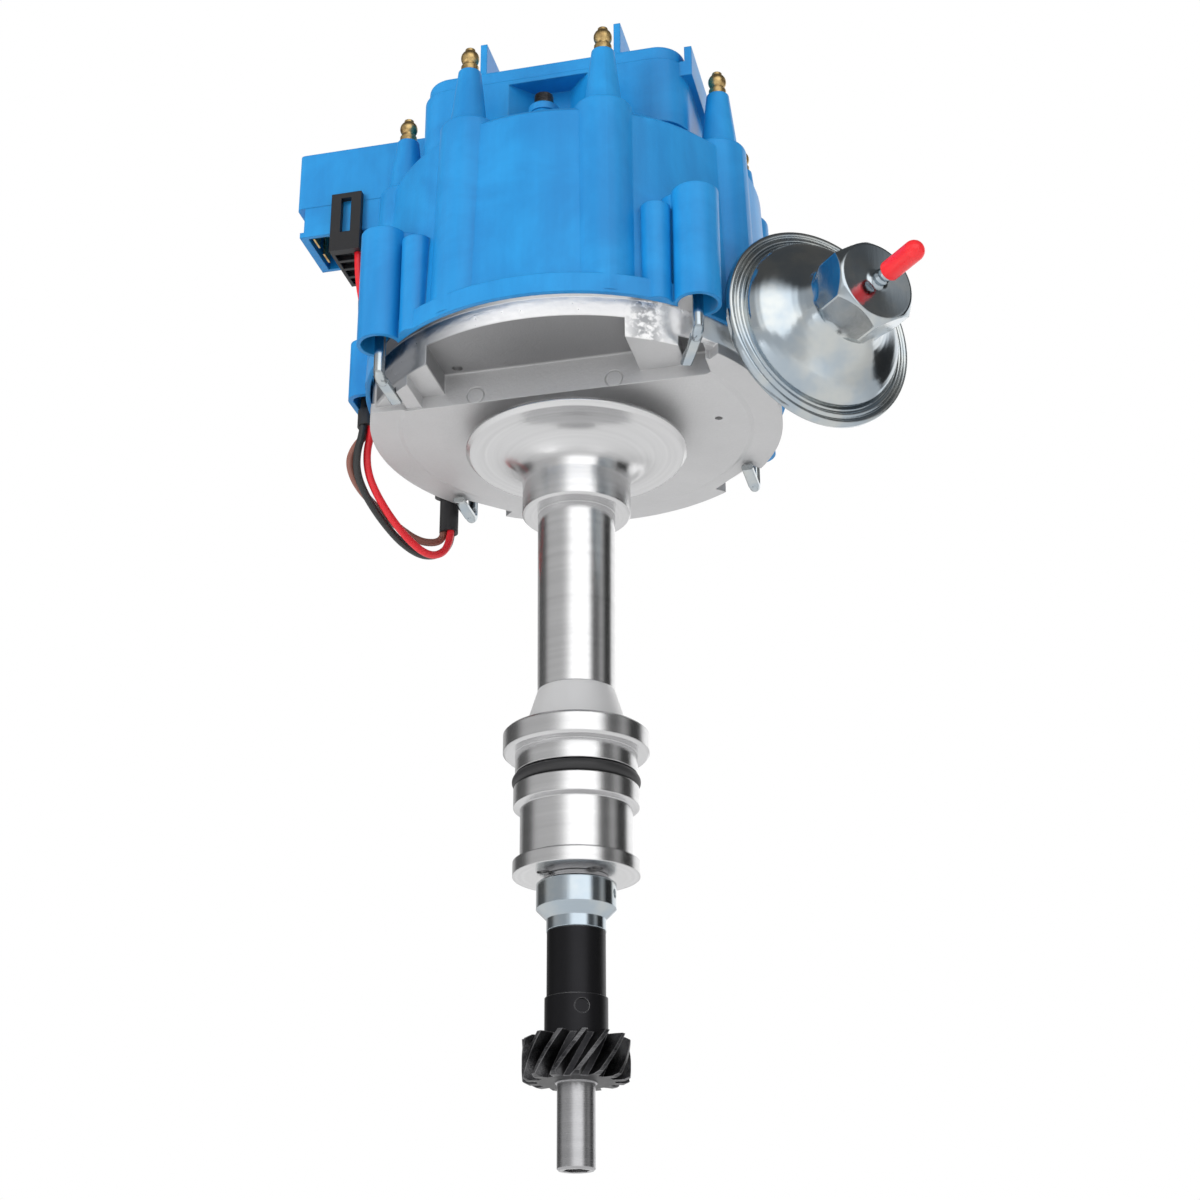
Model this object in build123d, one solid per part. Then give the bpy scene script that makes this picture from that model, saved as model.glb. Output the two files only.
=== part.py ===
from build123d import *
import os
from math import cos, sin, radians, degrees, tan, pi, sqrt, hypot

# Sizes are millimetres. Height zero is the underside of the mounting flange, on the shaft's axis.
# X runs along the coil cover, away from its plug box. The drive gear is at the bottom.

# Clearances
running_fit = 0.03
moving_gap = 0.3
touch_gap = 0.1
wire_slip = 0.15

# Shaft and drive gear
shaft_r = 7.0
shaft_end_r = 6.35
shaft_end = -141.0
shaft_end_chamfer = 0.6
shaft_shoulder = 0.4
hex_socket = 8.0
hex_socket_depth = 10.0
gear_teeth = 14
gear_tip_r = 18.0
gear_tooth_depth = 5.2
gear_width = 14.4
gear_bottom = -112.8
gear_twist = 36.0
gear_end_chamfer = 0.9
gear_hub_r = 10.65
gear_neck_r = 9.97
gear_neck_bottom = -85.2
gear_pin_r = 2.4
gear_pin_height = -89.5
gear_pin_turn = -65.5

# Thrust collar under the stem
collar_r = 13.7
collar_height = 9.1
collar_nose_r = 10.15
collar_nose = 4.1
collar_cone = 3.6
collar_pin_r = 1.6
collar_pin_turn = 176.0
thrust_washer_r = 11.0
thrust_washer = 2.1

# Stem of the housing, from the flange down and up
flange_r = 25.75
flange_height = 8.4
flange_edge = 0.9
pilot_r = 21.4
groove_top = -7.2
ring_section = 4.8
ring_outer_r = 22.5
lower_band_r = 21.9
lower_band_bottom = -19.0
waist_r = 19.5
foot_height = 4.9
stem_bottom = -43.4
cone_base_r = 18.7
cone_top = 24.0
tube_low_r = 13.8
tube_high_r = 14.2
bushing_wall = 1.7
bushing_length = 28.0
oil_port_r = 2.6
oil_port_count = 4
hub_boss_r = 19.9
hub_boss_bottom = 92.9
hub_boss_straight = 12.0
hub_disc_r = 41.2
hub_disc_bottom = 117.7
hub_disc_height = 3.6
hub_disc_edge = 1.5
hub_neck_r = 29.0

# Bowl of the housing
floor_bottom = 127.0
floor_thickness = 5.0
floor_step = 0.8
floor_step_r = 66.3
floor_step_slope = 1.6
bowl_r = 76.3
bowl_edge = 0.6
bowl_wall_thickness = 3.6
bowl_rim = 149.6
chord_offset = 33.0
pocket_left = -41.2
pocket_right = 31.8
pocket_ceiling = 139.8
platform_thickness = 3.0
pocket_wall = 3.2
latch_flat = 71.0
latch_flat_width = 24.0
front_wall_r = 81.9
front_wall_x = -2.9
front_wall_y = 16.8
rim_flange = 2.4
ledge_left = -49.8
ledge_right = 48.5
lug_left = -55.4
notch_right = 57.3
left_notch_depth = 2.2
right_notch_depth = 9.0
centre_post_r = 14.5
centre_post_height = 6.0
pilot_post_r = 12.5
pilot_post_height = 7.0
vent_hole_r = 1.4
vent_hole_x = 54.0
ejector_mark_r = 3.4
ejector_mark = 0.3
ejector_mark_places = (-29.5, 22.2)
ejector_mark_height = 3.1
platform_hole_r = 1.9
platform_hole_x = -35.4
platform_hole_y = -37.0
window_width = 21.0
window_back = 19.0
window_front = 14.0

# Cap
skirt_wall = 1.75
skirt_bottom = 140.6
skirt_height = 8.2
skirt_fit = 0.35
cap_wall = 4.2
cap_low_r = 75.0
cap_high_r = 72.0
cap_shoulder = 221.0
cap_top = 223.5
cap_top_r = 69.6
cap_roof = 5.5
tower_count = 8
tower_circle_r = 66.8
column_circle_r = 65.4
column_foot_circle_r = 67.4
tower_column_r = 11.2
tower_foot_r = 11.9
column_top = 225.5
column_inner_floor = 186.0
tower_base_r = 7.2
tower_tip_r = 4.3
tower_tip = 250.6
coil_wall_x = 48.0
coil_wall_y = 40.0
coil_wall = 2.4
coil_wall_top = 233.0
coil_wall_corner = 9.0
cap_post_r = 10.0
cap_post_bottom = 201.0

# Spark terminals
terminal_ball_r = 3.45
terminal_neck_r = 2.35
terminal_base_r = 3.3
terminal_base_height = 3.0
terminal_ball_height = 7.0
terminal_stem_r = 2.2
terminal_tab_reach = 54.2
terminal_tab_width = 6.0
terminal_tab_thickness = 4.0
terminal_tab_bottom = 190.0

# Coil cover
cover_x = 52.0
cover_y = 44.2
cover_lip_inset = 1.5
cover_bottom = 230.5
cover_lip = 259.0
cover_top = 266.0
cover_wall = 2.6
cover_corner = 12.0
cover_edge = 1.6
niche_half_width = 15.5
niche_depth = 9.0
niche_flat = 6.5
niche_top = 257.0
ear_thickness = 3.0
ear_r = 5.6
boss_r = 5.2
boss_foot_r = 7.2
boss_top = 235.5
cover_screw_y = 50.0
cover_screw_r = 1.9
cover_screw_head_r = 3.6
cover_screw_head = 5.6
fin_height = 13.6
fin_thickness = 2.6
fin_x = 26.4
fin_length = 84.0
fin_front_cut = 4.0
rail_thickness = 2.8
rail_gap = 1.2
rail_height = 13.0
rail_length = 78.0

# Plug box on the left of the cap and cover
box_half_width = 13.0
box_end = -112.3
box_lid_bottom = 236.6
box_top = 262.3
shroud_end = -108.8
shroud_bottom = 223.0
shroud_wall = 1.6
shroud_flare = 1.6
blade_width = 6.3
blade_thickness = 0.8
blade_length = 13.4
blade_offset = -2.3
blade_middle_y = -2.0
blade_spacing = 11.0
plug_length_x = 12.4
plug_depth_y = 22.0
plug_bottom = 213.0
plug_pocket = 4.4
plug_pocket_depth = 2.5
plug_pocket_count = 4
plug_pocket_pitch = 5.8
plug_top = 234.6
plug_right = -84.2
plug_fit = 0.4
latch_frame_thickness = 2.6
latch_frame_bar = 4.1
latch_frame_top = 239.5
latch_hole_top = 237.2
latch_hole_bottom = 221.4

# Wires
wire_r = 1.5
plug_wire_x = -86.0
plug_wire_y = -4.0
plug_wire_pitch = 7.5
plug_wire_depth = 3.0
bundle_r = 1.82
wire_sleeve_r = 3.75
upper_sleeve_x = -83.2
upper_sleeve_top = 148.0
upper_sleeve_length = 7.0
upper_bundle_turns = (0.0, 240.0, 120.0)
lower_sleeve_length = 15.0
lower_sleeve_turn = 143.0
lower_sleeve_stand_off = 4.6
lower_bundle_turns = (-45.0, 75.0, 195.0)
entry_top = 131.5
grommet_width = 12.0
grommet_height = 8.0
guard_r = 88.8
guard_wall = 2.0
guard_half_width = 11.0
guard_bottom = 149.5
guard_top = 174.0

# Latches
latch_stand_off = 2.8
latch_turns = (-135.0, -45.0, 45.0, 135.0)
latch_rod_r = 2.0
latch_head_r = 5.2
latch_head_height = 3.2
latch_top = 183.0
latch_foot_reaches = (19.5, 22.5, 19.5, 19.5)
latch_foot_turns = (90.0, 112.0, -90.0, -90.0)
latch_foot_width = 4.4
latch_foot_thickness = 2.6
latch_bend_r = 2.6
boss_outer_r = 8.4
boss_cup_r = 6.9
boss_web = 5.0
boss_web_bottom = 160.0
latch_boss_top = 186.0
rib_r = 5.4
rib_turn = 9.2
rib_circle_r = 75.4
rib_top = 180.0
latch_spring_r = 3.9
latch_spring_wire = 0.9
latch_spring_turns = 5

# Vacuum advance unit
vacuum_x = 95.5
vacuum_y = -29.5
vacuum_z = 141.8
vacuum_turn = -47.8
vacuum_rim_r = 38.0
vacuum_rim_thickness = 3.4
vacuum_sheet = 1.0
vacuum_bead_r = 34.4
dome_r = 32.0
dome_depth = 17.0
dome_neck_r = 16.6
hex_flats = 29.6
hex_back = 21.0
hex_front = 36.0
hex_chamfer_r = 14.2
nipple_r = 2.5
nipple_bore_r = 1.2
nipple_end = 52.0
barb_r = 3.0
barb_count = 3
barb_pitch = 2.6
port_cap_r = 3.7
port_cap_back = 43.0
port_cap_end = 60.5
back_depth = 12.0
back_r = 15.0
neck_width = 18.0
neck_height = 10.0
neck_end = 33.0
foot_end = 56.0
foot_thickness = 2.6
rod_r = 1.5
pull_plate_r = 20.0
diaphragm_thickness = 1.2
vacuum_spring_r = 9.0
vacuum_spring_wire = 1.4
vacuum_spring_turns = 5
adjuster_r = 6.0
adjuster_length = 7.0

# Pickup and reluctor
pickup_plate = 2.5
pickup_r = 29.0
pickup_bore_edge = 3.0
arm_width = 8.0
arm_pin_r = 1.5
arm_pin_slack = 0.05
pole_gap = 0.5
pole_thickness = 2.4
reluctor_r = 22.2
reluctor_root_r = 17.0
reluctor_height = 4.0
reluctor_teeth = 8
reluctor_tooth = 3.0
magnet_r = 24.0
magnet_height = 3.8
coil_clear = 3.0

# Advance mechanism and rotor
sleeve_outer_r = 9.5
advance_sleeve = 17.0
base_thickness = 2.5
base_r = 36.5
weight_thickness = 4.6
weight_inner_r = 14.5
weight_outer_r = 30.0
weight_post_x = 25.0
weight_post_y = 7.5
weight_post_r = 2.5
weight_side = 3.6
advance_cam_r = 12.6
advance_cam_flat = 9.0
cam_pin_x = 8.0
cam_pin_r = 1.4
advance_spring_r = 1.5
advance_spring_wire = 0.5
advance_spring_turns = 8
rotor_lift = 11.4
rotor_disc_r = 38.0
rotor_disc = 3.0
rotor_leg_r = 3.0
rotor_leg_x = 33.4
rotor_tower_r = 17.0
rotor_tower_top_r = 12.0
rotor_tall = 17.6
rotor_arm_width = 13.0
rotor_arm_height = 6.0
rotor_arm_reach = 47.0
blade_reach = 52.6
rotor_blade = 1.2
rotor_screw_r = 1.5
rotor_screw_head_r = 2.9

# Values worked out from the ones above
bushing_r = shaft_r + running_fit + bushing_wall
collar_top = stem_bottom - thrust_washer - 2 * touch_gap
collar_low = collar_top - collar_height
nose_bottom = collar_low - collar_cone - collar_nose
gear_top = gear_bottom + gear_width
gear_hub_top = nose_bottom - touch_gap
ring_centre_r = ring_outer_r - ring_section / 2
groove_r = ring_outer_r - ring_section
ring_height = groove_top - ring_section / 2 - touch_gap
groove_bottom = groove_top - ring_section - 2 * touch_gap
floor_top = floor_bottom + floor_thickness
bowl_edge_r = bowl_r + bowl_edge
skirt_r = bowl_edge_r + skirt_fit + skirt_wall
latch_circle_r = skirt_r + latch_stand_off
lower_sleeve_circle_r = bowl_edge_r + lower_sleeve_stand_off
rim_ledge = bowl_rim - rim_flange
lug_bottom = floor_bottom + floor_step
left_notch_ceiling = lug_bottom + left_notch_depth
right_notch_ceiling = floor_bottom + right_notch_depth
latch_seats = (left_notch_ceiling, floor_top, floor_bottom, floor_bottom)
platform_top = pocket_ceiling + platform_thickness
plate_seat = floor_top + centre_post_height
pilot_post_top = plate_seat + pilot_post_height
base_height = pilot_post_top + advance_sleeve
rotor_height = base_height + rotor_lift
rotor_top = rotor_height + rotor_tall
pickup_bottom = plate_seat + touch_gap
pickup_top = pickup_bottom + pickup_plate
magnet_top = pickup_top + magnet_height
pole_top = magnet_top + pole_thickness
skirt_top = skirt_bottom + skirt_height
weight_bottom = base_height + base_thickness + touch_gap
weight_top = weight_bottom + weight_thickness
shaft_top = weight_top + 1.0
post_top = rotor_height - moving_gap
advance_spring_height = (weight_top + rotor_height) / 2
cap_inner_r = cap_high_r - cap_wall
rotor_disc_top = rotor_height + rotor_disc
column_step = 360.0 / tower_count
first_tower = column_step / 2
vacuum_axis = (cos(radians(vacuum_turn)), sin(radians(vacuum_turn)))
pull_offset = abs(vacuum_x * vacuum_axis[1] - vacuum_y * vacuum_axis[0])
pull_length = vacuum_x * vacuum_axis[0] + vacuum_y * vacuum_axis[1]
pull_turn = vacuum_turn + 90.0


def post(radius, low, high, x=0.0, y=0.0):
    """Upright round bar between two heights."""
    return Pos(x, y, low) * Cylinder(radius, high - low, align=(Align.CENTER, Align.CENTER, Align.MIN))


def tube(outer, inner, low, high, x=0.0, y=0.0):
    return post(outer, low, high, x, y) - post(inner, low - 1, high + 1, x, y)


def block(x0, x1, y0, y1, z0, z1):
    """Box between two corners."""
    return Pos((x0 + x1) / 2, (y0 + y1) / 2, (z0 + z1) / 2) * Box(x1 - x0, y1 - y0, z1 - z0)


def turned(profile):
    """Solid of revolution about the shaft's axis, from (radius, height) points."""
    points = [(radius, 0, height) for radius, height in profile]
    return revolve(make_face(Polyline(*points, close=True)), Axis.Z)


def rounded_block(half_x, half_y, corner, low, high):
    """Upright prism on a rectangle with rounded corners, centred on the axis."""
    outline = Pos(0, 0, low) * RectangleRounded(2 * half_x, 2 * half_y, corner)
    return extrude(outline, high - low)


def around(shape, turns):
    """Copies of one shape, each turned about the shaft's axis."""
    return [Rot(0, 0, turn) * shape for turn in turns]


def joined(shapes):
    total = shapes[0]
    for shape in shapes[1:]:
        total = total + shape
    return total


def polar(radius, turn):
    return radius * cos(radians(turn)), radius * sin(radians(turn))


def coil_spring(radius, wire, turns, low, high):
    """Round-wire helix between two heights, with the wire inside them."""
    pitch = (high - low - wire) / turns
    path = Pos(0, 0, low + wire / 2) * Helix(pitch, high - low - wire, radius)
    start = path @ 0
    section = Plane(start, x_dir=(1, 0, 0), z_dir=path % 0) * Circle(wire / 2)
    return sweep(section, path=path, is_frenet=True)


def on_vacuum_axis(shape):
    """Carry a shape drawn along +Z to the vacuum unit's axis, with its X upright."""
    place = Plane((vacuum_x, vacuum_y, vacuum_z), x_dir=(0, 0, 1), z_dir=(*vacuum_axis, 0))
    return place.location * shape


# Housing

def stem_profile():
    bore = bushing_r
    return [
        (bore, stem_bottom), (lower_band_r, stem_bottom), (lower_band_r, stem_bottom + foot_height),
        (waist_r, stem_bottom + foot_height + 0.8), (waist_r, lower_band_bottom - 0.8),
        (lower_band_r, lower_band_bottom), (lower_band_r, groove_bottom), (groove_r, groove_bottom),
        (groove_r, groove_top), (pilot_r, groove_top), (pilot_r, 0), (flange_r - flange_edge, 0),
        (flange_r, flange_edge), (flange_r, flange_height - flange_edge),
        (flange_r - flange_edge, flange_height), (cone_base_r, flange_height), (tube_low_r, cone_top),
        (tube_high_r, hub_boss_bottom), (hub_boss_r - 0.8, hub_boss_bottom),
        (hub_boss_r, hub_boss_bottom + 0.8), (hub_boss_r, hub_boss_bottom + hub_boss_straight),
    ]


def hub_profile():
    """Boss that flares into the hub disc, with its hollow curve as an arc."""
    flare_low = hub_boss_bottom + hub_boss_straight
    flare_r = hub_disc_bottom - flare_low
    bend = (hub_boss_r + flare_r * (1 - cos(pi / 4)), 0, flare_low + flare_r * sin(pi / 4))
    low = (hub_boss_r, 0, flare_low)
    high = (hub_boss_r + flare_r, 0, hub_disc_bottom)
    edge = hub_disc_edge
    outline = [
        high, (hub_disc_r - edge, 0, hub_disc_bottom), (hub_disc_r, 0, hub_disc_bottom + edge),
        (hub_disc_r, 0, hub_disc_bottom + hub_disc_height - edge),
        (hub_disc_r - edge, 0, hub_disc_bottom + hub_disc_height),
        (hub_neck_r, 0, hub_disc_bottom + hub_disc_height), (hub_neck_r, 0, floor_bottom + 1),
        (bushing_r, 0, floor_bottom + 1), (bushing_r, 0, flare_low), low,
    ]
    edges = [ThreePointArc(low, bend, high)] + [Line(a, b) for a, b in zip(outline, outline[1:])]
    return revolve(make_face(Wire(edges)), Axis.Z)


def floor_slab():
    """Bottom plate of the bowl: a raised outer ring, a chord in front and a flat at each latch."""
    disc = Pos(0, 0, floor_bottom) * Cone(floor_step_r - floor_step_slope, floor_step_r, floor_step,
                                          align=(Align.CENTER, Align.CENTER, Align.MIN))
    slab = disc + post(bowl_edge_r, lug_bottom, floor_top)
    flat = block(latch_flat, bowl_edge_r + 9, -latch_flat_width / 2, latch_flat_width / 2,
                 floor_bottom - 1, floor_top + 0.01)
    slab = slab - joined(around(flat, latch_turns))
    return slab - block(-bowl_edge_r - 1, notch_right, -bowl_edge_r - 1, -chord_offset, floor_bottom - 1,
                        floor_top + 1)


def front_region(low, high):
    """Part of the bowl in front of the chord, from its left edge to the right latch's notch."""
    return block(-bowl_edge_r - 1, notch_right, -bowl_edge_r - 1, -chord_offset, low, high)


def front_arc(inset, low, high):
    """Upright cylinder whose face is the set-back front wall, or lies behind it by the inset."""
    return post(front_wall_r - inset, low, high, front_wall_x, front_wall_y)


def bowl_wall():
    """Round wall, set back in front under the rim's flange."""
    ring = tube(bowl_r, bowl_r - bowl_wall_thickness, floor_top - 0.01, bowl_rim)
    ring = ring - front_region(floor_bottom, rim_ledge)
    inside = post(bowl_r, left_notch_ceiling, bowl_rim)
    front = front_arc(0, left_notch_ceiling, bowl_rim) - front_arc(bowl_wall_thickness, floor_bottom, bowl_rim + 1)
    flange = post(bowl_r, rim_ledge, bowl_rim) - front_arc(bowl_wall_thickness, floor_bottom, bowl_rim + 1)
    region = front_region(floor_bottom, bowl_rim)
    return ring + (front & inside & region) + (flange & region)


def front_spaces():
    """Hollows below the front of the bowl: pocket, ledges beside it and the right latch's notch."""
    low = floor_bottom - 1
    front = -bowl_edge_r - 1
    pocket = block(pocket_left, pocket_right, front, -chord_offset, low, pocket_ceiling)
    ledges = block(ledge_left, ledge_right, front, -chord_offset, low, floor_top)
    notch = block(ledge_right, notch_right, front, -chord_offset, low, right_notch_ceiling)
    return pocket + ledges + notch


def front_platform():
    """Floor of the bowl in front of the chord, stepped over the pocket, the ledges and the notches."""
    left = pocket_left - pocket_wall
    right = pocket_right + pocket_wall
    deck = block(left, right, -bowl_r, -chord_offset + pocket_wall, pocket_ceiling, platform_top)
    back = block(left, right, -chord_offset, -chord_offset + pocket_wall, floor_top - 0.5, platform_top)
    sides = block(left, pocket_left, -bowl_r, -chord_offset, floor_top, platform_top)
    sides = sides + block(pocket_right, right, -bowl_r, -chord_offset, floor_top, platform_top)
    over = right_notch_ceiling + pocket_wall
    notch = block(ledge_right - pocket_wall, notch_right, -bowl_r, -chord_offset, floor_top, over)
    notch = notch + block(ledge_right - pocket_wall, notch_right + pocket_wall, -chord_offset,
                          -chord_offset + pocket_wall, floor_top - 0.5, over)
    notch = notch + block(notch_right, notch_right + pocket_wall, -bowl_r, -chord_offset + pocket_wall,
                          floor_top - 0.5, over)
    shelf = block(-bowl_edge_r, notch_right, -bowl_r, -chord_offset + 0.01, left_notch_ceiling,
                  floor_top + pocket_wall)
    inner = front_arc(bowl_wall_thickness / 2, floor_bottom, bowl_rim)
    round_inner = post(bowl_r - bowl_wall_thickness / 2, floor_bottom, bowl_rim)
    floor = deck + back + sides + (shelf & inner)
    floor = floor + (notch & post(bowl_r - 0.5, floor_bottom, bowl_rim))
    floor = floor & (inner + block(notch_right, bowl_r, -bowl_r, -chord_offset + pocket_wall, floor_bottom, over))
    lug = block(lug_left, ledge_left, -bowl_r, -chord_offset + 1, lug_bottom, left_notch_ceiling + 1)
    return (floor & round_inner) + (lug & front_arc(0, floor_bottom, bowl_rim))


def ejector_marks():
    """Shallow rings on the chord's upright face."""
    marks = []
    for x in ejector_mark_places:
        outer = Cylinder(ejector_mark_r, 2 * ejector_mark)
        ring = outer - Cylinder(ejector_mark_r - 0.4, 2 * ejector_mark + 1)
        marks.append(Pos(x, -chord_offset, floor_bottom + ejector_mark_height) * Rot(90, 0, 0) * ring)
    return marks


def vacuum_window():
    """Slot through the wall and rim for the vacuum unit's neck."""
    slot = block(-window_back, window_front, -window_width / 2, window_width / 2, floor_top, bowl_rim + 1)
    wall_x, wall_y = wall_crossing()
    return Pos(wall_x, wall_y, 0) * Rot(0, 0, vacuum_turn) * slot


def wall_crossing():
    """Point where the vacuum unit's axis passes the bowl's wall."""
    back = pull_length - sqrt(bowl_r ** 2 - pull_offset ** 2)
    return vacuum_x - back * vacuum_axis[0], vacuum_y - back * vacuum_axis[1]


def housing():
    body = turned(stem_profile() + [(bushing_r, hub_boss_bottom + hub_boss_straight)])
    body = body + hub_profile() + floor_slab() + bowl_wall()
    body = body + front_platform() - front_spaces()
    body = body + tube(centre_post_r, bushing_r, floor_top - 0.01, plate_seat)
    body = body + tube(pilot_post_r, bushing_r, plate_seat - 0.01, pilot_post_top)
    body = body - post(bushing_r, stem_bottom - 1, pilot_post_top + 1)
    ports = [Pos(*polar(bushing_r + oil_port_r + 1.2, 45 + 360 / oil_port_count * i), stem_bottom) *
             Cylinder(oil_port_r, 4) for i in range(oil_port_count)]
    body = body - joined(ports)
    body = body - vacuum_window()
    body = body - post(vent_hole_r, floor_bottom - 1, floor_top + 1, vent_hole_x, 0)
    body = body - post(platform_hole_r, floor_bottom, pocket_ceiling + 1.6, platform_hole_x, platform_hole_y)
    body = body - joined(ejector_marks())
    body = body - joined(grommet_slot())
    body = body - joined(foot_screw_holes())
    body = body - joined(module_screw_holes())
    return body - capacitor_screw_hole()


def bushing(low):
    return tube(bushing_r, shaft_r + running_fit, low, low + bushing_length)


def stem_o_ring():
    return Pos(0, 0, ring_height) * Torus(ring_centre_r, ring_section / 2 - touch_gap / 2)


def shaft_seal():
    low = stem_bottom + bushing_length
    return tube(bushing_r, shaft_r + moving_gap, low, low + 3.0)


# Shaft, collar and gear

def shaft():
    bar = post(shaft_end_r, shaft_end, gear_bottom)
    bar = chamfer(bar.edges().group_by(Axis.Z)[0], shaft_end_chamfer)
    bar = bar + post(shaft_r, gear_bottom - shaft_shoulder, shaft_top)
    socket = Pos(0, 0, shaft_end) * extrude(RegularPolygon(hex_socket / 2, 6, major_radius=False),
                                            hex_socket_depth)
    bar = bar - socket
    return bar - cross_pin_space(gear_pin_r, gear_pin_height, gear_pin_turn, gear_hub_r) \
        - cross_pin_space(collar_pin_r, collar_low + collar_height / 2, collar_pin_turn, collar_r)


def cross_pin_space(radius, height, turn, reach):
    return Rot(0, 0, turn) * Pos(0, 0, height) * Rot(0, 90, 0) * Cylinder(radius, 2 * reach + 2)


def cross_pin(radius, height, turn, reach, sink):
    """Pin through the shaft, sunk a little below the surface that it passes through."""
    return Rot(0, 0, turn) * Pos(0, 0, height) * Rot(0, 90, 0) * Cylinder(radius, 2 * (reach - sink))


def thrust_collar():
    body = turned([
        (shaft_r, collar_top), (collar_r - 0.5, collar_top), (collar_r, collar_top - 0.5),
        (collar_r, collar_low), (collar_nose_r, collar_low - collar_cone),
        (collar_nose_r, nose_bottom), (shaft_r, nose_bottom),
    ])
    return body - cross_pin_space(collar_pin_r, collar_low + collar_height / 2, collar_pin_turn, collar_r)


def thrust_washer_ring():
    high = stem_bottom - touch_gap
    return tube(thrust_washer_r, shaft_r + running_fit, high - thrust_washer, high)


def tooth_outline():
    """Closed outline of the gear, tooth by tooth, with a land at each tip and root."""
    step = 2 * pi / gear_teeth
    root_r = gear_tip_r - gear_tooth_depth
    flank_r = gear_tip_r - gear_tooth_depth * 0.45
    shares = ((root_r, -0.29), (flank_r, -0.2), (gear_tip_r, -0.1), (gear_tip_r, 0.1), (flank_r, 0.2),
              (root_r, 0.29))
    points = []
    for tooth in range(gear_teeth):
        for radius, share in shares:
            angle = step * (tooth + share)
            points.append((radius * cos(angle), radius * sin(angle), 0))
    return points


def drive_gear():
    outline = Wire.make_polygon(tooth_outline())
    teeth = Solid.extrude_linear_with_rotation(outline, (0, 0, 0), (0, 0, gear_width), gear_twist)
    envelope = turned([
        (0, 0), (gear_tip_r - 2 * gear_end_chamfer, 0), (gear_tip_r, gear_end_chamfer),
        (gear_tip_r, gear_width - gear_end_chamfer), (gear_tip_r - 2 * gear_end_chamfer, gear_width),
        (0, gear_width),
    ])
    outside = post(gear_tip_r + 2, -1, gear_width + 1) - envelope
    body = Pos(0, 0, gear_bottom) * (Part(teeth.wrapped) - outside)
    body = body + post(gear_hub_r, gear_top - 0.5, gear_neck_bottom) + post(gear_neck_r, gear_neck_bottom - 0.5,
                                                                           gear_hub_top)
    body = body - post(shaft_r, gear_bottom - 1, gear_hub_top + 1)
    return body - cross_pin_space(gear_pin_r, gear_pin_height, gear_pin_turn, gear_hub_r)


# Cap

def tower_turns():
    return [first_tower + column_step * i for i in range(tower_count)]


def tower():
    """Column down the cap's wall, leaning out to its foot, with the cone that holds a terminal."""
    lean = degrees((column_foot_circle_r - column_circle_r) / (column_top - skirt_bottom))
    length = column_top - skirt_bottom - 1
    column = Cone(tower_foot_r, tower_column_r, length, align=(Align.CENTER, Align.CENTER, Align.MIN))
    column = fillet(column.edges().group_by(Axis.Z)[-1], 1.6)
    column = Pos(column_foot_circle_r, 0, skirt_bottom + 1) * Rot(0, -lean, 0) * column
    cone = Cone(tower_base_r, tower_tip_r, tower_tip - column_top + 1,
                align=(Align.CENTER, Align.CENTER, Align.MIN))
    return column + Pos(tower_circle_r, 0, column_top - 1) * cone


def cap_shell():
    return turned([
        (0, cap_top - cap_roof), (0, cap_top), (cap_top_r, cap_top), (cap_high_r, cap_shoulder),
        (cap_low_r, skirt_top), (skirt_r, skirt_top - 0.6), (skirt_r, skirt_bottom),
        (bowl_edge_r, skirt_bottom), (cap_inner_r, skirt_bottom), (cap_inner_r, cap_top - cap_roof),
    ])


def latch_bosses():
    """Cup for each latch on the outside of the cap, with a small rib beside it."""
    shapes = []
    for turn in latch_turns:
        side = -1 if abs(turn) > 90 else 1
        x, y = polar(latch_circle_r, turn)
        shapes.append(post(boss_outer_r, skirt_bottom, latch_boss_top, x, y))
        x, y = polar(latch_circle_r - boss_outer_r, turn)
        shapes.append(post(boss_outer_r, skirt_bottom, latch_boss_top, x, y))
        rib_at = turn - side * rib_turn if turn < 0 else turn + side * rib_turn
        x, y = polar(rib_circle_r, rib_at)
        shapes.append(post(rib_r, skirt_bottom, rib_top, x, y))
    return shapes


def latch_holes():
    """Space in each cup: a spring pocket above the web, a way for the rod, and the hollow below."""
    shapes = []
    for turn in latch_turns:
        x, y = polar(latch_circle_r, turn)
        shapes.append(post(boss_cup_r, boss_web_bottom + boss_web, latch_boss_top + 1, x, y))
        shapes.append(post(latch_rod_r + moving_gap, skirt_bottom, latch_boss_top, x, y))
        shapes.append(post(boss_cup_r, skirt_bottom - 1, boss_web_bottom, x, y))
    return shapes


def shroud():
    """Downward socket on the left of the cap for the harness plug and the two supply blades."""
    y = box_half_width
    inner_end = shroud_end + shroud_wall
    outer = block(shroud_end, -cap_inner_r, -y, y, shroud_bottom, box_lid_bottom)
    flare = block(shroud_end - shroud_flare, shroud_end + 1, -y, y, shroud_bottom, shroud_bottom + 2.4)
    return outer + flare, inner_end


def shroud_hollows():
    y = box_half_width - shroud_wall
    inner_end = shroud_end + shroud_wall
    split = plug_right - plug_length_x - plug_fit - shroud_wall
    ceiling = box_lid_bottom - shroud_wall
    return [
        block(inner_end, split, -y, y, shroud_bottom - 1, ceiling),
        block(split + shroud_wall, plug_right + plug_fit, -y, y, shroud_bottom - 1, ceiling),
    ]


def wire_guard():
    """Loop on the cap's left wall that the wires pass down through."""
    outer = block(-guard_r, -cap_high_r + 2, -guard_half_width, guard_half_width, guard_bottom, guard_top)
    outer = fillet(outer.edges().filter_by(Axis.Z).group_by(Axis.X)[0], 5.0)
    inner = block(-guard_r + guard_wall, -cap_low_r - 0.4, -guard_half_width + guard_wall,
                  guard_half_width - guard_wall, guard_bottom - 1, guard_top + 1)
    inner = fillet(inner.edges().filter_by(Axis.Z).group_by(Axis.X)[0], 3.0)
    return outer, inner


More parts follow.
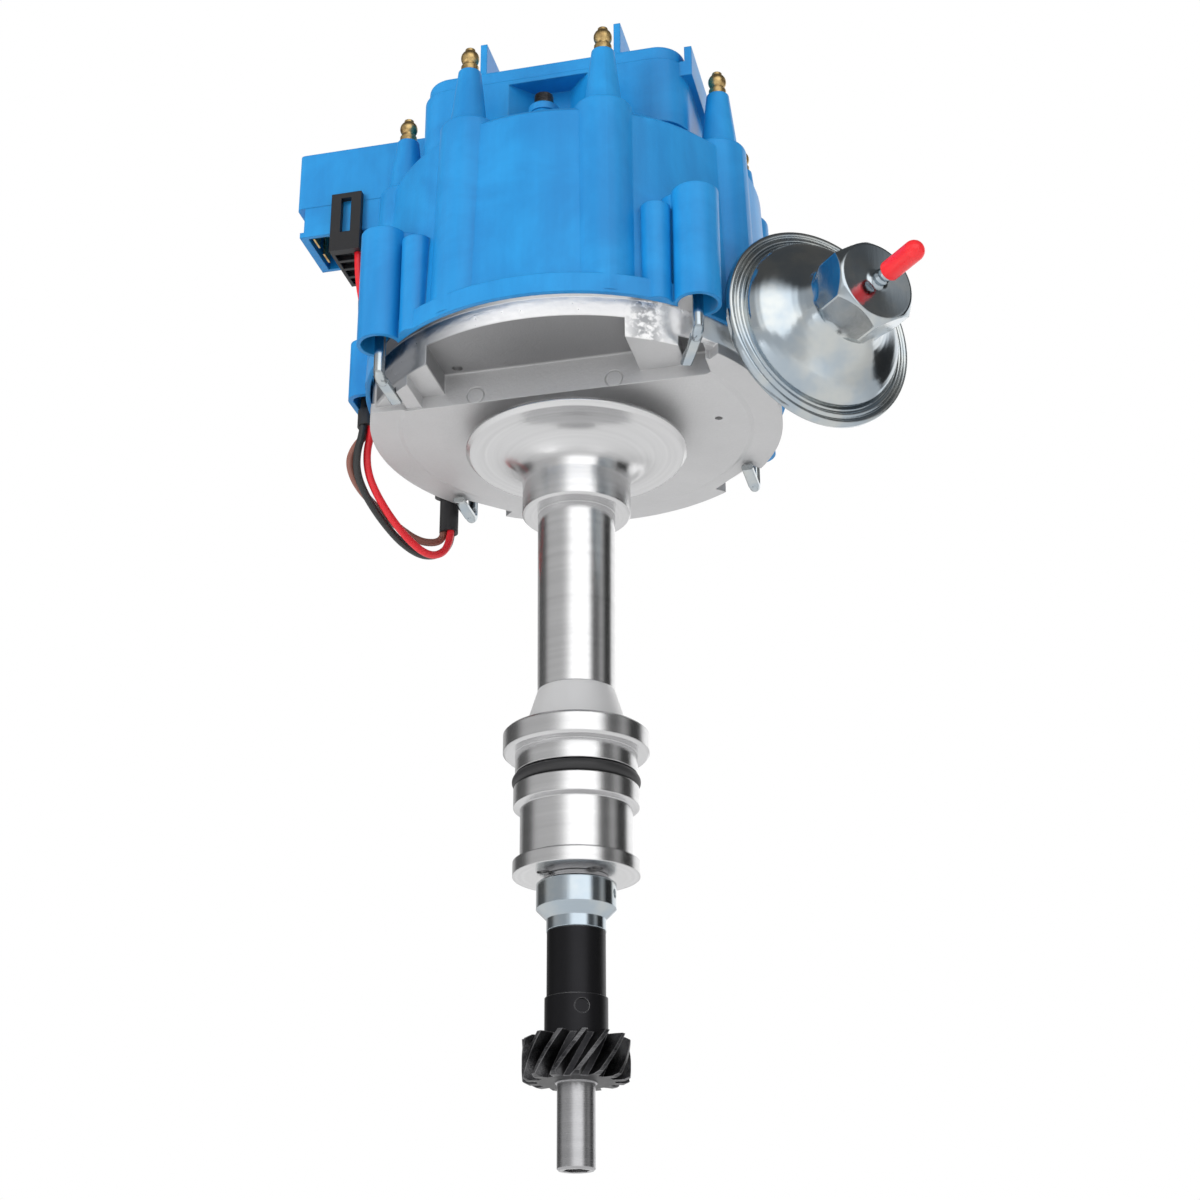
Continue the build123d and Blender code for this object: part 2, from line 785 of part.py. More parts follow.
def cap():
    body = cap_shell()
    body = body + joined(latch_bosses())
    guard, guard_space = wire_guard()
    body = body + guard - guard_space
    body = body - post(cap_inner_r, skirt_bottom - 1, column_inner_floor)
    towers = joined(around(tower(), tower_turns()))
    inside = post(cap_inner_r, skirt_bottom, column_inner_floor)
    body = body + (towers - inside)
    body = body + joined([post(cap_post_r, cap_post_bottom, cap_top - 1)])
    body = body - post(bowl_edge_r + skirt_fit, skirt_bottom - 1, skirt_top - 1.5)
    body = body - post(bowl_r + skirt_fit, skirt_bottom - 1, bowl_rim)
    wall = rounded_block(coil_wall_x, coil_wall_y, coil_wall_corner, cap_top - 1, coil_wall_top)
    wall = wall - rounded_block(coil_wall_x - coil_wall, coil_wall_y - coil_wall,
                                coil_wall_corner - coil_wall, cap_top, coil_wall_top + 1)
    notch = niche_half_width + cover_wall + 1
    wall = wall - block(-notch, notch, -cover_y, cover_y, cap_top + 0.5, coil_wall_top + 1)
    body = body + wall
    for y in (-cover_screw_y, cover_screw_y):
        body = body + Pos(0, y, cap_top - 1) * Cone(boss_foot_r, boss_r, boss_top - cap_top + 1,
                                                    align=(Align.CENTER, Align.CENTER, Align.MIN))
        body = body - post(cover_screw_r, boss_top - 14, boss_top + 1, 0, y)
    socket, _ = shroud()
    socket = socket - joined(shroud_hollows())
    body = body + (socket - post(cap_inner_r, shroud_bottom - 1, box_lid_bottom + 1))
    body = body - joined(blade_slots())
    body = body - joined(latch_holes())
    body = body - post(contact_bore_r(), cap_post_bottom - 1, cap_top + 1)
    body = body - joined(around(terminal_space(), tower_turns()))
    body = body - neck_notch()
    return body - joined(coil_screw_holes())


def neck_notch():
    """Cut in the cap's lower edge for the vacuum unit's neck."""
    high = vacuum_z + neck_height / 2 + moving_gap
    slot = block(-window_back, window_front, -window_width / 2, window_width / 2, skirt_bottom - 1, high)
    wall_x, wall_y = wall_crossing()
    return Pos(wall_x, wall_y, 0) * Rot(0, 0, vacuum_turn) * slot


# Terminals

def terminal_profile():
    """Ball, neck and base of a stud that sits in a tower, from its tip down."""
    base = tower_tip
    neck = base + terminal_base_height
    centre = base + terminal_ball_height
    ball = Pos(tower_circle_r, 0, centre) * Sphere(terminal_ball_r)
    tip = post(1.9, centre, centre + terminal_ball_r + 0.4, tower_circle_r, 0)
    stud = post(terminal_base_r, base + touch_gap / 2, neck, tower_circle_r, 0)
    neck_bar = post(terminal_neck_r, neck - 0.2, centre, tower_circle_r, 0)
    return ball + tip + stud + neck_bar


def terminal_inside():
    stem = post(terminal_stem_r, terminal_tab_bottom, tower_tip + 1, tower_circle_r, 0)
    half = terminal_tab_width / 2
    tab = block(terminal_tab_reach, tower_circle_r, -half, half, terminal_tab_bottom,
                terminal_tab_bottom + terminal_tab_thickness)
    return stem + tab


def terminal_space():
    return terminal_inside()


def spark_terminals():
    one = terminal_profile() + terminal_inside()
    return Compound(children=around(one, tower_turns()))


def blade_places():
    x = (shroud_end + shroud_wall + plug_right - plug_length_x - plug_fit - shroud_wall) / 2 + blade_offset
    return [(x, blade_middle_y - blade_spacing / 2), (x, blade_middle_y + blade_spacing / 2)]


def blade(x, y, grow=0.0):
    """Flat supply terminal that hangs in the shroud, with its root in the shroud's ceiling."""
    top = box_lid_bottom - touch_gap
    return block(x - blade_thickness / 2 - grow, x + blade_thickness / 2 + grow, y - blade_width / 2 - grow,
                 y + blade_width / 2 + grow, top - blade_length, top)


def blade_slots():
    return [block(x - blade_thickness / 2, x + blade_thickness / 2, y - blade_width / 2, y + blade_width / 2,
                  box_lid_bottom - shroud_wall - 1, box_lid_bottom + 1) for x, y in blade_places()]


def supply_terminals():
    return Compound(children=[blade(x, y) for x, y in blade_places()])


# Coil cover

def niche(grow):
    """Wedge-sided notch in the middle of the cover's front, for a screw ear."""
    face = cover_y + 6
    wide = niche_half_width + grow
    flat = niche_flat + grow
    back = cover_y - niche_depth - grow
    mouth = wide + (face - cover_y) * 0.5
    outline = Polyline((-mouth, -face), (-wide, -cover_y), (-flat, -back), (flat, -back), (wide, -cover_y),
                       (mouth, -face), close=True)
    low = cover_bottom - 1
    return Pos(0, 0, low) * extrude(make_face(outline), niche_top + grow - low)


def both_sides(shape):
    """A shape at the front and its mirror at the back."""
    return shape + mirror(shape, about=Plane.XZ)


def coil_cover():
    body = rounded_block(cover_x, cover_y, cover_corner, cover_bottom, cover_lip)
    lip = rounded_block(cover_x - cover_lip_inset, cover_y - cover_lip_inset, cover_corner - cover_lip_inset,
                        cover_lip - 1, cover_top)
    body = body + fillet(lip.edges().group_by(Axis.Z)[-1], cover_edge)
    lid = block(box_end, -cover_x + 6, -box_half_width, box_half_width, box_lid_bottom + touch_gap, box_top)
    lid = fillet(lid.edges().filter_by(Axis.Z).group_by(Axis.X)[0], 2.0)
    body = body + lid
    body = body - both_sides(niche(0))
    hollow = rounded_block(cover_x - cover_wall, cover_y - cover_wall, cover_corner - cover_wall,
                           cover_bottom - 1, cover_top - cover_wall)
    body = body - (hollow - both_sides(niche(cover_wall)))
    channel = block(box_end + cover_wall, -cover_x + cover_wall + 1, -box_half_width + cover_wall,
                    box_half_width - cover_wall, box_lid_bottom - 1, box_top - cover_wall)
    body = body - channel
    ear = block(-ear_r, ear_r, -cover_screw_y, -cover_y + niche_depth + 0.5, boss_top, boss_top + ear_thickness)
    ear = ear + post(ear_r, boss_top, boss_top + ear_thickness, 0, -cover_screw_y)
    ear = ear - post(cover_screw_r, boss_top - 1, boss_top + ear_thickness + 1, 0, -cover_screw_y)
    body = body + both_sides(ear)
    fin = block(-fin_thickness / 2, fin_thickness / 2, -fin_length / 2, fin_length / 2, cover_top - 1,
                cover_top + fin_height)
    body = body + Pos(-fin_x, 0, 0) * fin + Pos(fin_x, 0, 0) * fin
    rail = block(cover_x - cover_lip_inset + rail_gap, cover_x - cover_lip_inset + rail_gap + rail_thickness,
                 -rail_length / 2, rail_length / 2, cover_top - rail_height, cover_top)
    web = block(cover_x - cover_lip_inset - 1, cover_x - cover_lip_inset + rail_gap + 0.5, -rail_length / 2,
                rail_length / 2, cover_top - rail_height, cover_top - rail_height / 2)
    return body + rail + web


def cover_screws():
    screws = []
    for y in (-cover_screw_y, cover_screw_y):
        seat = boss_top + ear_thickness
        screw = post(cover_screw_r, boss_top - 12, seat, 0, y)
        head = post(cover_screw_head_r, seat, seat + cover_screw_head, 0, y)
        slot = Pos(0, y, seat + cover_screw_head) * Box(2 * cover_screw_head_r, 1.0, 2.0)
        screws.append(screw + head - slot)
    return Compound(children=screws)


# Coil inside the cover

coil_half_x = 38.0
coil_half_y = 27.0
coil_stack = 20.0
coil_leg = 12.0
coil_window = 13.0
coil_screw_r = 2.0


def coil_seat():
    return cap_top + 2.0


def coil_core():
    """Laminated frame with a middle leg and two windows, and a foot at each corner."""
    low = coil_seat() + 3.0
    frame = block(-coil_half_x, coil_half_x, -coil_half_y, coil_half_y, low, low + coil_stack)
    for side in (-1, 1):
        near = side * coil_leg / 2
        far = side * (coil_leg / 2 + coil_window)
        frame = frame - block(min(near, far), max(near, far), -coil_half_y + coil_leg, coil_half_y - coil_leg,
                              low - 1, low + coil_stack + 1)
    for x, y in coil_screw_places():
        frame = frame + post(4.4, cap_top, low, x, y)
        frame = frame - post(coil_screw_r, cap_top - 1, low + coil_stack + 1, x, y)
    return frame


def coil_screw_places():
    x = coil_half_x - coil_leg / 2
    y = coil_half_y - coil_leg / 2
    return [(-x, -y), (-x, y), (x, -y), (x, y)]


def coil_screws():
    screws = []
    top = coil_seat() + 3.0 + coil_stack
    for x, y in coil_screw_places():
        screws.append(post(coil_screw_r, cap_top - 4, top, x, y) + post(4.0, top, top + 2.6, x, y))
    return Compound(children=screws)


def coil_screw_holes():
    return [post(coil_screw_r, cap_top - 4, cap_top + 1, x, y) for x, y in coil_screw_places()]


def coil_winding():
    """Wound and potted bobbin around the core's middle leg."""
    low = coil_seat() + 3.0 - 2.0
    reach_x = coil_leg / 2 + coil_window - 0.6
    reach_y = coil_half_y - coil_leg - 0.6
    body = block(-reach_x, reach_x, -reach_y, reach_y, low, low + coil_stack + 4.0)
    hole = block(-coil_leg / 2 - 0.2, coil_leg / 2 + 0.2, -reach_y - 1, reach_y + 1, low + 1.8,
                 low + coil_stack + 2.2)
    body = body - hole
    return body + post(5.0, cap_top + 2.2, low + 0.5)


def contact_bore_r():
    return 4.0


def coil_seal():
    return tube(9.0, 4.4, cap_top, cap_top + 2.0)


def contact_spring():
    return coil_spring(2.9, 0.7, 5, cap_post_bottom + 6.4, cap_top + 2.0)


def coil_contact():
    """Carbon button that the spring presses on the rotor's blade."""
    top = cap_post_bottom + 6.2
    return post(3.6, cap_post_bottom + 0.5, top) + post(2.4, rotor_top + rotor_blade + touch_gap,
                                                        cap_post_bottom + 1)


# Latches

def latch(number):
    """Slotted head, rod and the flattened foot that hooks under the bowl."""
    turn = latch_turns[number]
    reach = latch_foot_reaches[number]
    x, y = polar(latch_circle_r, turn)
    foot_height = latch_seats[number] - moving_gap - latch_foot_thickness / 2
    dx, dy = polar(1.0, latch_foot_turns[number])
    knee = 1.5 * latch_bend_r
    route = FilletPolyline((x, y, latch_top), (x, y, foot_height), (x + knee * dx, y + knee * dy, foot_height),
                           radius=latch_bend_r)
    rod = sweep(Plane((x, y, latch_top), z_dir=(0, 0, -1)) * Circle(latch_rod_r), path=route)
    end = Pos(x + knee * dx, y + knee * dy, foot_height) * Sphere(latch_rod_r)
    blade = Box(reach - knee, latch_foot_width, latch_foot_thickness)
    blade = fillet(blade.edges().filter_by(Axis.X), 0.4 * latch_foot_thickness)
    place = Pos(x, y, foot_height) * Rot(0, 0, latch_foot_turns[number])
    blade = place * Pos((reach + knee) / 2, 0, 0) * blade
    head = post(latch_head_r, latch_top - latch_head_height, latch_top, x, y)
    slot = Pos(x, y, latch_top) * Rot(0, 0, turn) * Box(2.4 * latch_head_r, 1.3, 3.0)
    return rod + end + blade + head - slot


def latch_springs():
    low = boss_web_bottom + boss_web
    high = latch_top - latch_head_height
    springs = []
    for turn in latch_turns:
        x, y = polar(latch_circle_r, turn)
        spring = coil_spring(latch_spring_r, latch_spring_wire, latch_spring_turns, low + touch_gap,
                             high - touch_gap)
        springs.append(Pos(x, y, 0) * spring)
    return Compound(children=springs)


# Vacuum advance unit

def vacuum_front_profile():
    """Section of the pressed front shell, whose rim is crimped over the diaphragm and the back shell."""
    sheet = vacuum_sheet
    seat = diaphragm_thickness / 2
    return [
        (dome_neck_r - sheet, hex_back - 1.5), (dome_neck_r, hex_back), (dome_neck_r + 1.2, dome_depth + 0.6),
        (dome_neck_r + 4.4, dome_depth - 3.0), (dome_r - 6.5, dome_depth - 7.4), (dome_r - 1.6, 5.2),
        (dome_r, seat + sheet + 0.9), (vacuum_bead_r - 0.6, seat + sheet), (vacuum_bead_r, seat + sheet + 0.9),
        (vacuum_rim_r - 0.9, seat + sheet + 0.9), (vacuum_rim_r, seat + sheet), (vacuum_rim_r, -seat - sheet - 0.5),
        (vacuum_rim_r - sheet, -seat - sheet - 0.5), (vacuum_rim_r - sheet, seat), (dome_r - 0.6, seat),
        (dome_r - 2.6, 4.4), (dome_r - 7.2, dome_depth - 8.8), (dome_neck_r + 3.6, dome_depth - 4.2),
    ]


def front_solid():
    """Dome, hexagonal nose and barbed pipe as one pressed and brazed shell."""
    sheet = vacuum_sheet
    dome = turned(vacuum_front_profile())
    nose = extrude(Pos(0, 0, hex_back - 2.0) * RegularPolygon(hex_flats / 2, 6, major_radius=False),
                   hex_front - hex_back + 2.0)
    nose = nose & turned([(0, hex_back - 2.0), (hex_flats, hex_back - 2.0), (hex_flats, hex_front - 7.0),
                          (hex_chamfer_r, hex_front), (0, hex_front)])
    cavity = post(hex_flats / 2 - 1.6, hex_back - 3.0, hex_front - 2 * sheet)
    nose = nose - cavity
    pipe = post(nipple_r, hex_front - 1.5, nipple_end)
    for i in range(barb_count):
        low = hex_front + 1.6 + i * barb_pitch
        pipe = pipe + Pos(0, 0, low) * Cone(barb_r, nipple_r, barb_pitch * 0.7,
                                             align=(Align.CENTER, Align.CENTER, Align.MIN))
    body = dome + nose + pipe
    return body - post(nipple_bore_r, hex_front - 4, nipple_end + 1)


def vacuum_front_shell():
    return on_vacuum_axis(front_solid())


def vacuum_back_profile():
    """Section of the back shell, whose rim lies behind the diaphragm in the crimp."""
    sheet = vacuum_sheet
    seat = diaphragm_thickness / 2
    edge = vacuum_rim_r - sheet - touch_gap
    return [
        (rod_r + 1.0, -back_depth), (back_r, -back_depth), (dome_r - 4.0, -6.0), (dome_r, -seat - sheet),
        (edge, -seat - sheet), (edge, -seat), (dome_r - 0.6, -seat), (dome_r - 4.6, -4.9),
        (back_r - 0.6, -back_depth + sheet), (rod_r + 1.0, -back_depth + sheet),
    ]


def vacuum_back_shell():
    """Back cup with the neck that enters the bowl and the foot that is screwed to its floor."""
    cup = turned(vacuum_back_profile())
    half = neck_width / 2
    lower = vacuum_z - floor_top
    # Along the axis frame, X points up and Y points across.
    neck = block(-neck_height / 2, neck_height / 2, -half, half, -neck_end, -back_depth + 0.5)
    neck = neck - block(-neck_height / 2 + 1.6, neck_height / 2 - 1.6, -half + 1.6, half - 1.6, -neck_end - 1,
                        -back_depth - 0.1)
    drop = block(-lower, -neck_height / 2 + 1.6, -half, half, -neck_end, -neck_end + foot_thickness)
    foot = block(-lower, -lower + foot_thickness, -half, half, -foot_end, -neck_end + foot_thickness)
    neck = neck - post(rod_r + 1.0, -back_depth - 1, -back_depth + 1)
    body = cup + neck + drop + foot
    for along, across in foot_screw_places():
        body = body - Pos(-lower, across, -along) * Rot(0, 90, 0) * Cylinder(foot_screw_r, 3 * foot_thickness)
    return on_vacuum_axis(body)


foot_screw_r = 1.9
foot_screw_head_r = 3.6
foot_screw_depth = 3.6


def foot_screw_places():
    """Distance behind the rim and distance across, for each of the foot's two screws."""
    middle = (neck_end + foot_end) / 2 + 2.0
    across = neck_width / 2 - foot_screw_head_r - 0.6
    return [(middle, -across), (middle, across)]


def foot_screw_places_in_bowl():
    places = []
    for along, across in foot_screw_places():
        x = vacuum_x - along * vacuum_axis[0] - across * vacuum_axis[1] * -1
        y = vacuum_y - along * vacuum_axis[1] - across * vacuum_axis[0]
        places.append((x, y))
    return places


def foot_screw_holes():
    return [post(foot_screw_r, floor_top - foot_screw_depth, floor_top + 1, x, y)
            for x, y in foot_screw_places_in_bowl()]


def vacuum_screws():
    seat = floor_top + foot_thickness
    screws = [post(foot_screw_r, floor_top - foot_screw_depth, seat, x, y) +
              post(foot_screw_head_r, seat, seat + 2.2, x, y) for x, y in foot_screw_places_in_bowl()]
    return Compound(children=screws)


def vacuum_diaphragm():
    """Rubber ring clamped between the shells, around the pull plate."""
    edge = vacuum_rim_r - vacuum_sheet - touch_gap
    ring = tube(edge, pull_plate_r + moving_gap, -diaphragm_thickness / 2, diaphragm_thickness / 2)
    return on_vacuum_axis(ring)


def vacuum_rod():
    """Pull plate, rod and the flat end whose slot holds the pickup plate's pin."""
    end = pull_length
    plate = post(pull_plate_r, -diaphragm_thickness, diaphragm_thickness)
    bar = post(rod_r, -end + 5.0, -diaphragm_thickness + 0.5)
    half = 5.0
    eye = block(-1.0, 1.0, -half, half, -end - 4.0, -end + 6.0)
    swing = pull_offset * (1 - cos(radians(pickup_travel)))
    slot_r = arm_pin_r + arm_pin_slack
    slot = extrude(Pos(0, 0, -1.5) * SlotCenterToCenter(2 * swing + 0.4, 2 * slot_r), 3.0)
    slot = Pos(0, 0, -end) * Rot(0, 90, 0) * Rot(0, 0, 90) * slot
    return on_vacuum_axis(plate + bar + eye - slot)


pickup_travel = 10.0


def vacuum_spring():
    spring = coil_spring(vacuum_spring_r, vacuum_spring_wire, vacuum_spring_turns,
                         diaphragm_thickness + touch_gap, hex_back + 2.0)
    return on_vacuum_axis(spring)


def adjuster_screw():
    """Screw in the nose that sets the spring's preload, with a hexagon hole towards the pipe."""
    low = hex_back + 2.0 + touch_gap
    body = post(adjuster_r, low + 2.0, low + adjuster_length) + post(vacuum_spring_r + 1.4, low, low + 2.0)
    socket = extrude(Pos(0, 0, low + adjuster_length - 4.0) * RegularPolygon(1.2, 6), 5.0)
    return on_vacuum_axis(body - socket)


def vacuum_port_cap():
    """Soft cap pushed over the pipe, with a rounded end."""
    body = post(port_cap_r, port_cap_back, port_cap_end - port_cap_r)
    body = body + Pos(0, 0, port_cap_end - port_cap_r) * Sphere(port_cap_r)
    space = post(nipple_r + touch_gap, port_cap_back - 1, nipple_end + touch_gap)
    lead = Pos(0, 0, port_cap_back - 0.01) * Cone(barb_r + touch_gap, nipple_r + touch_gap, barb_pitch,
                                                   align=(Align.CENTER, Align.CENTER, Align.MIN))
    return on_vacuum_axis(body - space - lead)


# Pickup, reluctor and advance

def pickup_plate_body():
    """Plate that turns on the housing's post, with an arm and pin for the vacuum rod."""
    plate = tube(pickup_r, pilot_post_r + running_fit, pickup_bottom, pickup_top)
    arm = block(pickup_r - pickup_bore_edge, pull_offset, -arm_width / 2, arm_width / 2, pickup_bottom, pickup_top)
    arm = arm + post(arm_width / 2, pickup_bottom, pickup_top, pull_offset, 0)
    pin = post(arm_pin_r, pickup_top - 0.5, vacuum_z + 2.2, pull_offset, 0)
    return plate + Rot(0, 0, pull_turn) * (arm + pin)


def pickup_retainer():
    low = pickup_top + touch_gap
    return tube(pilot_post_r + 2.0, pilot_post_r, low, low + 1.2)


def pickup_magnet():
    return tube(pickup_r, magnet_r, pickup_top, magnet_top)


def pickup_coil():
    return tube(magnet_r - touch_gap, pilot_post_r + coil_clear, pickup_top, magnet_top - 0.3)


def pole_piece():
    """Ring with a tooth for each cylinder, pointing in at the reluctor."""
    inner = reluctor_r + pole_gap
    ring = tube(pickup_r, inner + reluctor_tooth, magnet_top, pole_top)
    tooth = block(inner, inner + reluctor_tooth + 1, -reluctor_tooth / 2, reluctor_tooth / 2, magnet_top, pole_top)
    ring = ring + joined(around(tooth, [45.0 * i for i in range(reluctor_teeth)]))
    return ring - post(inner, magnet_top - 1, pole_top + 1)


def reluctor():
    """Toothed core on the sleeve that carries the weight base."""
    low = magnet_top - (reluctor_height - pole_thickness) / 2 + touch_gap
    sleeve_low = pilot_post_top + touch_gap
    sleeve = post(sleeve_outer_r, sleeve_low, base_height)
    hub = post(reluctor_root_r, max(low, sleeve_low), low + reluctor_height)
    tooth = block(0, reluctor_r + 1, -reluctor_tooth / 2, reluctor_tooth / 2, max(low, sleeve_low),
                  low + reluctor_height)
    step = 360.0 / reluctor_teeth
    star = hub + joined(around(tooth, [step * i for i in range(reluctor_teeth)]))
    star = star & post(reluctor_r, sleeve_low, low + reluctor_height)
    return star + sleeve - post(shaft_r + running_fit, sleeve_low - 1, base_height + 1)


def post_places():
    return [(-weight_post_x, weight_post_y), (weight_post_x, -weight_post_y)]


def weight_base():
    """Plate on the sleeve with the two posts that the weights turn on."""
    plate = tube(base_r, shaft_r + running_fit, base_height, base_height + base_thickness)
    for x, y in post_places():
        plate = plate + post(weight_post_r, base_height + 1, post_top, x, y)
    for x in (-rotor_leg_x, rotor_leg_x):
        plate = plate - post(rotor_screw_r, base_height - 1, base_height + base_thickness + 1, x, 0)
    return plate


def weight():
    """Crescent that swings out on its post at one end."""
    body = tube(weight_outer_r, weight_inner_r, weight_bottom, weight_top)
    body = body - block(-weight_outer_r - 1, weight_outer_r + 1, -weight_outer_r - 1, weight_side,
                        weight_bottom - 1, weight_top + 1)
    x, y = post_places()[0]
    return body - post(weight_post_r + running_fit, weight_bottom - 1, weight_top + 1, x, y)


def advance_cam():
    """Flat-sided cam on the shaft's top that the weights push against."""
    body = post(advance_cam_r, weight_bottom, weight_top) & \
        block(-advance_cam_r, advance_cam_r, -advance_cam_flat, advance_cam_flat, weight_bottom, weight_top)
    for x, y in ((-cam_pin_x, weight_post_y), (cam_pin_x, -weight_post_y)):
        body = body + post(cam_pin_r, weight_top - 1, post_top, x, y)
    return body - post(shaft_r, weight_bottom - 1, shaft_top + 1)


def advance_springs():
    """Two small springs, each from a weight's post to a pin on the cam."""
    near = weight_post_x - weight_post_r - touch_gap
    far = cam_pin_x + cam_pin_r + touch_gap
    spring = coil_spring(advance_spring_r, advance_spring_wire, advance_spring_turns, far, near)
    lying = Pos(0, weight_post_y, advance_spring_height) * Rot(0, -90, 0) * spring
    return Compound(children=[lying, Rot(0, 0, 180) * lying])


def rotor():
    """Moulded rotor: a disc on two legs, a tapered tower, and the arm that carries the blade."""
    disc = post(rotor_disc_r, rotor_height, rotor_disc_top)
    for x in (-rotor_leg_x, rotor_leg_x):
        disc = disc + post(rotor_leg_r, base_height + base_thickness, rotor_height + 1, x, 0)
    tower_height = rotor_top - rotor_disc_top
    tower = Pos(0, 0, rotor_disc_top - 0.01) * Cone(rotor_tower_r, rotor_tower_top_r, tower_height,
                                                    align=(Align.CENTER, Align.CENTER, Align.MIN))
    arm = block(0, rotor_arm_reach, -rotor_arm_width / 2, rotor_arm_width / 2, rotor_top - rotor_arm_height,
                rotor_top)
    rib = block(0, rotor_arm_reach - 18.0, -1.5, 1.5, rotor_disc_top - 0.5, rotor_top - 1)
    body = disc + tower + arm + rib - post(shaft_r + 1.5, rotor_height - 1, rotor_height + 2.0)
    for x in (-rotor_leg_x, rotor_leg_x):
        body = body - post(rotor_screw_r, base_height, rotor_disc_top + 1, x, 0)
    return body


def rotor_blade_strip():
    return block(-4.5, blade_reach, -4.0, 4.0, rotor_top, rotor_top + rotor_blade)


def rotor_screws():
    screws = []
    for x in (-rotor_leg_x, rotor_leg_x):
        screws.append(post(rotor_screw_r, base_height, rotor_disc_top, x, 0) +
                      post(rotor_screw_head_r, rotor_disc_top, rotor_disc_top + 1.8, x, 0))
    return Compound(children=screws)


# Electronics in the bowl

module_half_x = 29.0
module_near = -53.0
module_far = -36.0
module_plug = 4.4
module_height = 8.0
module_screw_r = 1.8
capacitor_r = 6.4
capacitor_half = 13.0
capacitor_y = 54.0


def module_screw_places():
    y = (module_near + module_far) / 2
    x = module_half_x - 4.0
    return [(-x, y), (x, y)]


def ignition_module():
    """Sealed module on the raised floor, with a plug nose towards the pickup."""
    low = platform_top
    body = block(-module_half_x, module_half_x, module_near, module_far, low, low + module_height)
    body = fillet(body.edges().filter_by(Axis.Z), 2.5)
    body = body + block(-10, 10, module_far - 0.5, module_far + module_plug, low + 2.0, low + module_height - 1)
    for x, y in module_screw_places():
        body = body - post(5.0, low + 3.0, low + module_height + 1, x, y)
        body = body - post(module_screw_r, low - 1, low + module_height, x, y)
    return body


def module_screw_holes():
    return [post(module_screw_r, pocket_ceiling + 0.6, platform_top + 1, x, y) for x, y in module_screw_places()]


def module_screws():
    screws = []
    for x, y in module_screw_places():
        seat = platform_top + 3.0
        screws.append(post(module_screw_r, pocket_ceiling + 0.7, seat, x, y) + post(4.0, seat, seat + 2.4, x, y))
    return Compound(children=screws)


def capacitor():
    """Round noise capacitor in a strap that is screwed to the bowl's floor."""
    can = Pos(0, capacitor_y, floor_top + capacitor_r + 1.0) * Rot(0, 90, 0) * Cylinder(capacitor_r,
                                                                                        2 * capacitor_half)
    strap = block(-4.0, 4.0, capacitor_y - capacitor_r - 9.0, capacitor_y, floor_top, floor_top + 1.4)
    return can + strap - post(module_screw_r, floor_top - 1, floor_top + 3, *capacitor_screw_place())


def capacitor_screw_place():
    return 0.0, capacitor_y - capacitor_r - 5.0


def capacitor_screw_hole():
    return post(module_screw_r, floor_top - 3.6, floor_top + 1, *capacitor_screw_place())


def capacitor_screw():
    x, y = capacitor_screw_place()
    return post(module_screw_r, floor_top - 3.4, floor_top + 1.4, x, y) + \
        post(3.2, floor_top + 1.4, floor_top + 3.4, x, y)


# Harness

def harness_plug():
    """Plug for three wires that enters the shroud from below, with a latch frame at its near end."""
    left = plug_right - plug_length_x
    half = plug_depth_y / 2
    face = -box_half_width - touch_gap
    upper = block(left, plug_right, -half, half, shroud_bottom - 1.0, plug_top)
    lower = block(left, plug_right, face - latch_frame_thickness, half, plug_bottom, shroud_bottom - touch_gap)
    frame = block(left, plug_right, face - latch_frame_thickness, face, shroud_bottom - 3.0,
                  latch_frame_top)
    hole = block(left + latch_frame_bar, plug_right - latch_frame_bar, face - latch_frame_thickness - 1, face,
                 latch_hole_bottom, latch_hole_top)
    body = upper + lower + frame - hole
    for i in range(plug_pocket_count):
        y = half - 1.6 - plug_pocket / 2 - i * plug_pocket_pitch
        body = body - block(left + 1.4, left + 8.6, y - plug_pocket / 2, y + plug_pocket / 2, plug_bottom - 1,
                            plug_bottom + plug_pocket_depth)
    for number in range(3):
        x, y = plug_wire_place(number)
        body = body - post(wire_r + wire_slip, plug_bottom - 1, plug_bottom + plug_wire_depth, x, y)
    return body


def plug_wire_place(number):
    return plug_wire_x, plug_wire_y + (number - 1) * plug_wire_pitch


def upper_wire_place(number):
    """Where a wire passes the first sleeve, on the cap's left wall."""
    dx, dy = polar(bundle_r, upper_bundle_turns[number])
    return upper_sleeve_x + dx, dy


def lower_wire_place(number):
    """Where a wire passes the second sleeve, beside the bowl's wall."""
    x, y = polar(lower_sleeve_circle_r, lower_sleeve_turn)
    dx, dy = polar(bundle_r, lower_bundle_turns[number])
    return x + dx, y + dy


# Free points of the three routes, in millimetres, from the plug to the guard and then below the first sleeve.
plug_runs = (
    ((-85.8, -11.2, 204.0), (-84.0, -8.0, 190.0), (-80.9, -3.0, 177.0), (-81.2, -0.3, 163.0)),
    ((-86.1, -4.5, 204.0), (-86.2, -4.1, 190.0), (-85.0, -2.8, 177.0), (-84.1, -1.8, 163.0)),
    ((-86.2, 3.6, 204.0), (-86.0, 2.8, 190.0), (-84.8, 1.5, 177.0), (-84.3, 1.7, 163.0)),
)
sleeve_exits = (138.5, 138.0, 138.6)
free_loops = (
    ((-84.0, 2.8, 131.8), (-84.6, 7.0, 124.8), (-82.9, 13.4, 118.4), (-79.6, 21.1, 111.8), (-75.2, 29.8, 105.9),
     (-70.0, 38.0, 102.2), (-65.3, 44.2, 105.2)),
    ((-86.6, -0.8, 130.8), (-88.2, 4.2, 124.0), (-86.9, 12.4, 117.6), (-83.4, 22.8, 111.2), (-79.0, 34.0, 106.2),
     (-73.8, 44.4, 104.9), (-68.6, 51.3, 108.6)),
    ((-88.4, 1.5, 134.2), (-91.3, 3.0, 128.4), (-90.4, 9.5, 122.2), (-86.3, 19.4, 117.4), (-80.4, 30.4, 112.6),
     (-74.6, 40.2, 109.9), (-69.4, 46.6, 111.4)),
)
sleeve_entries = (113.6, 113.2, 114.8)


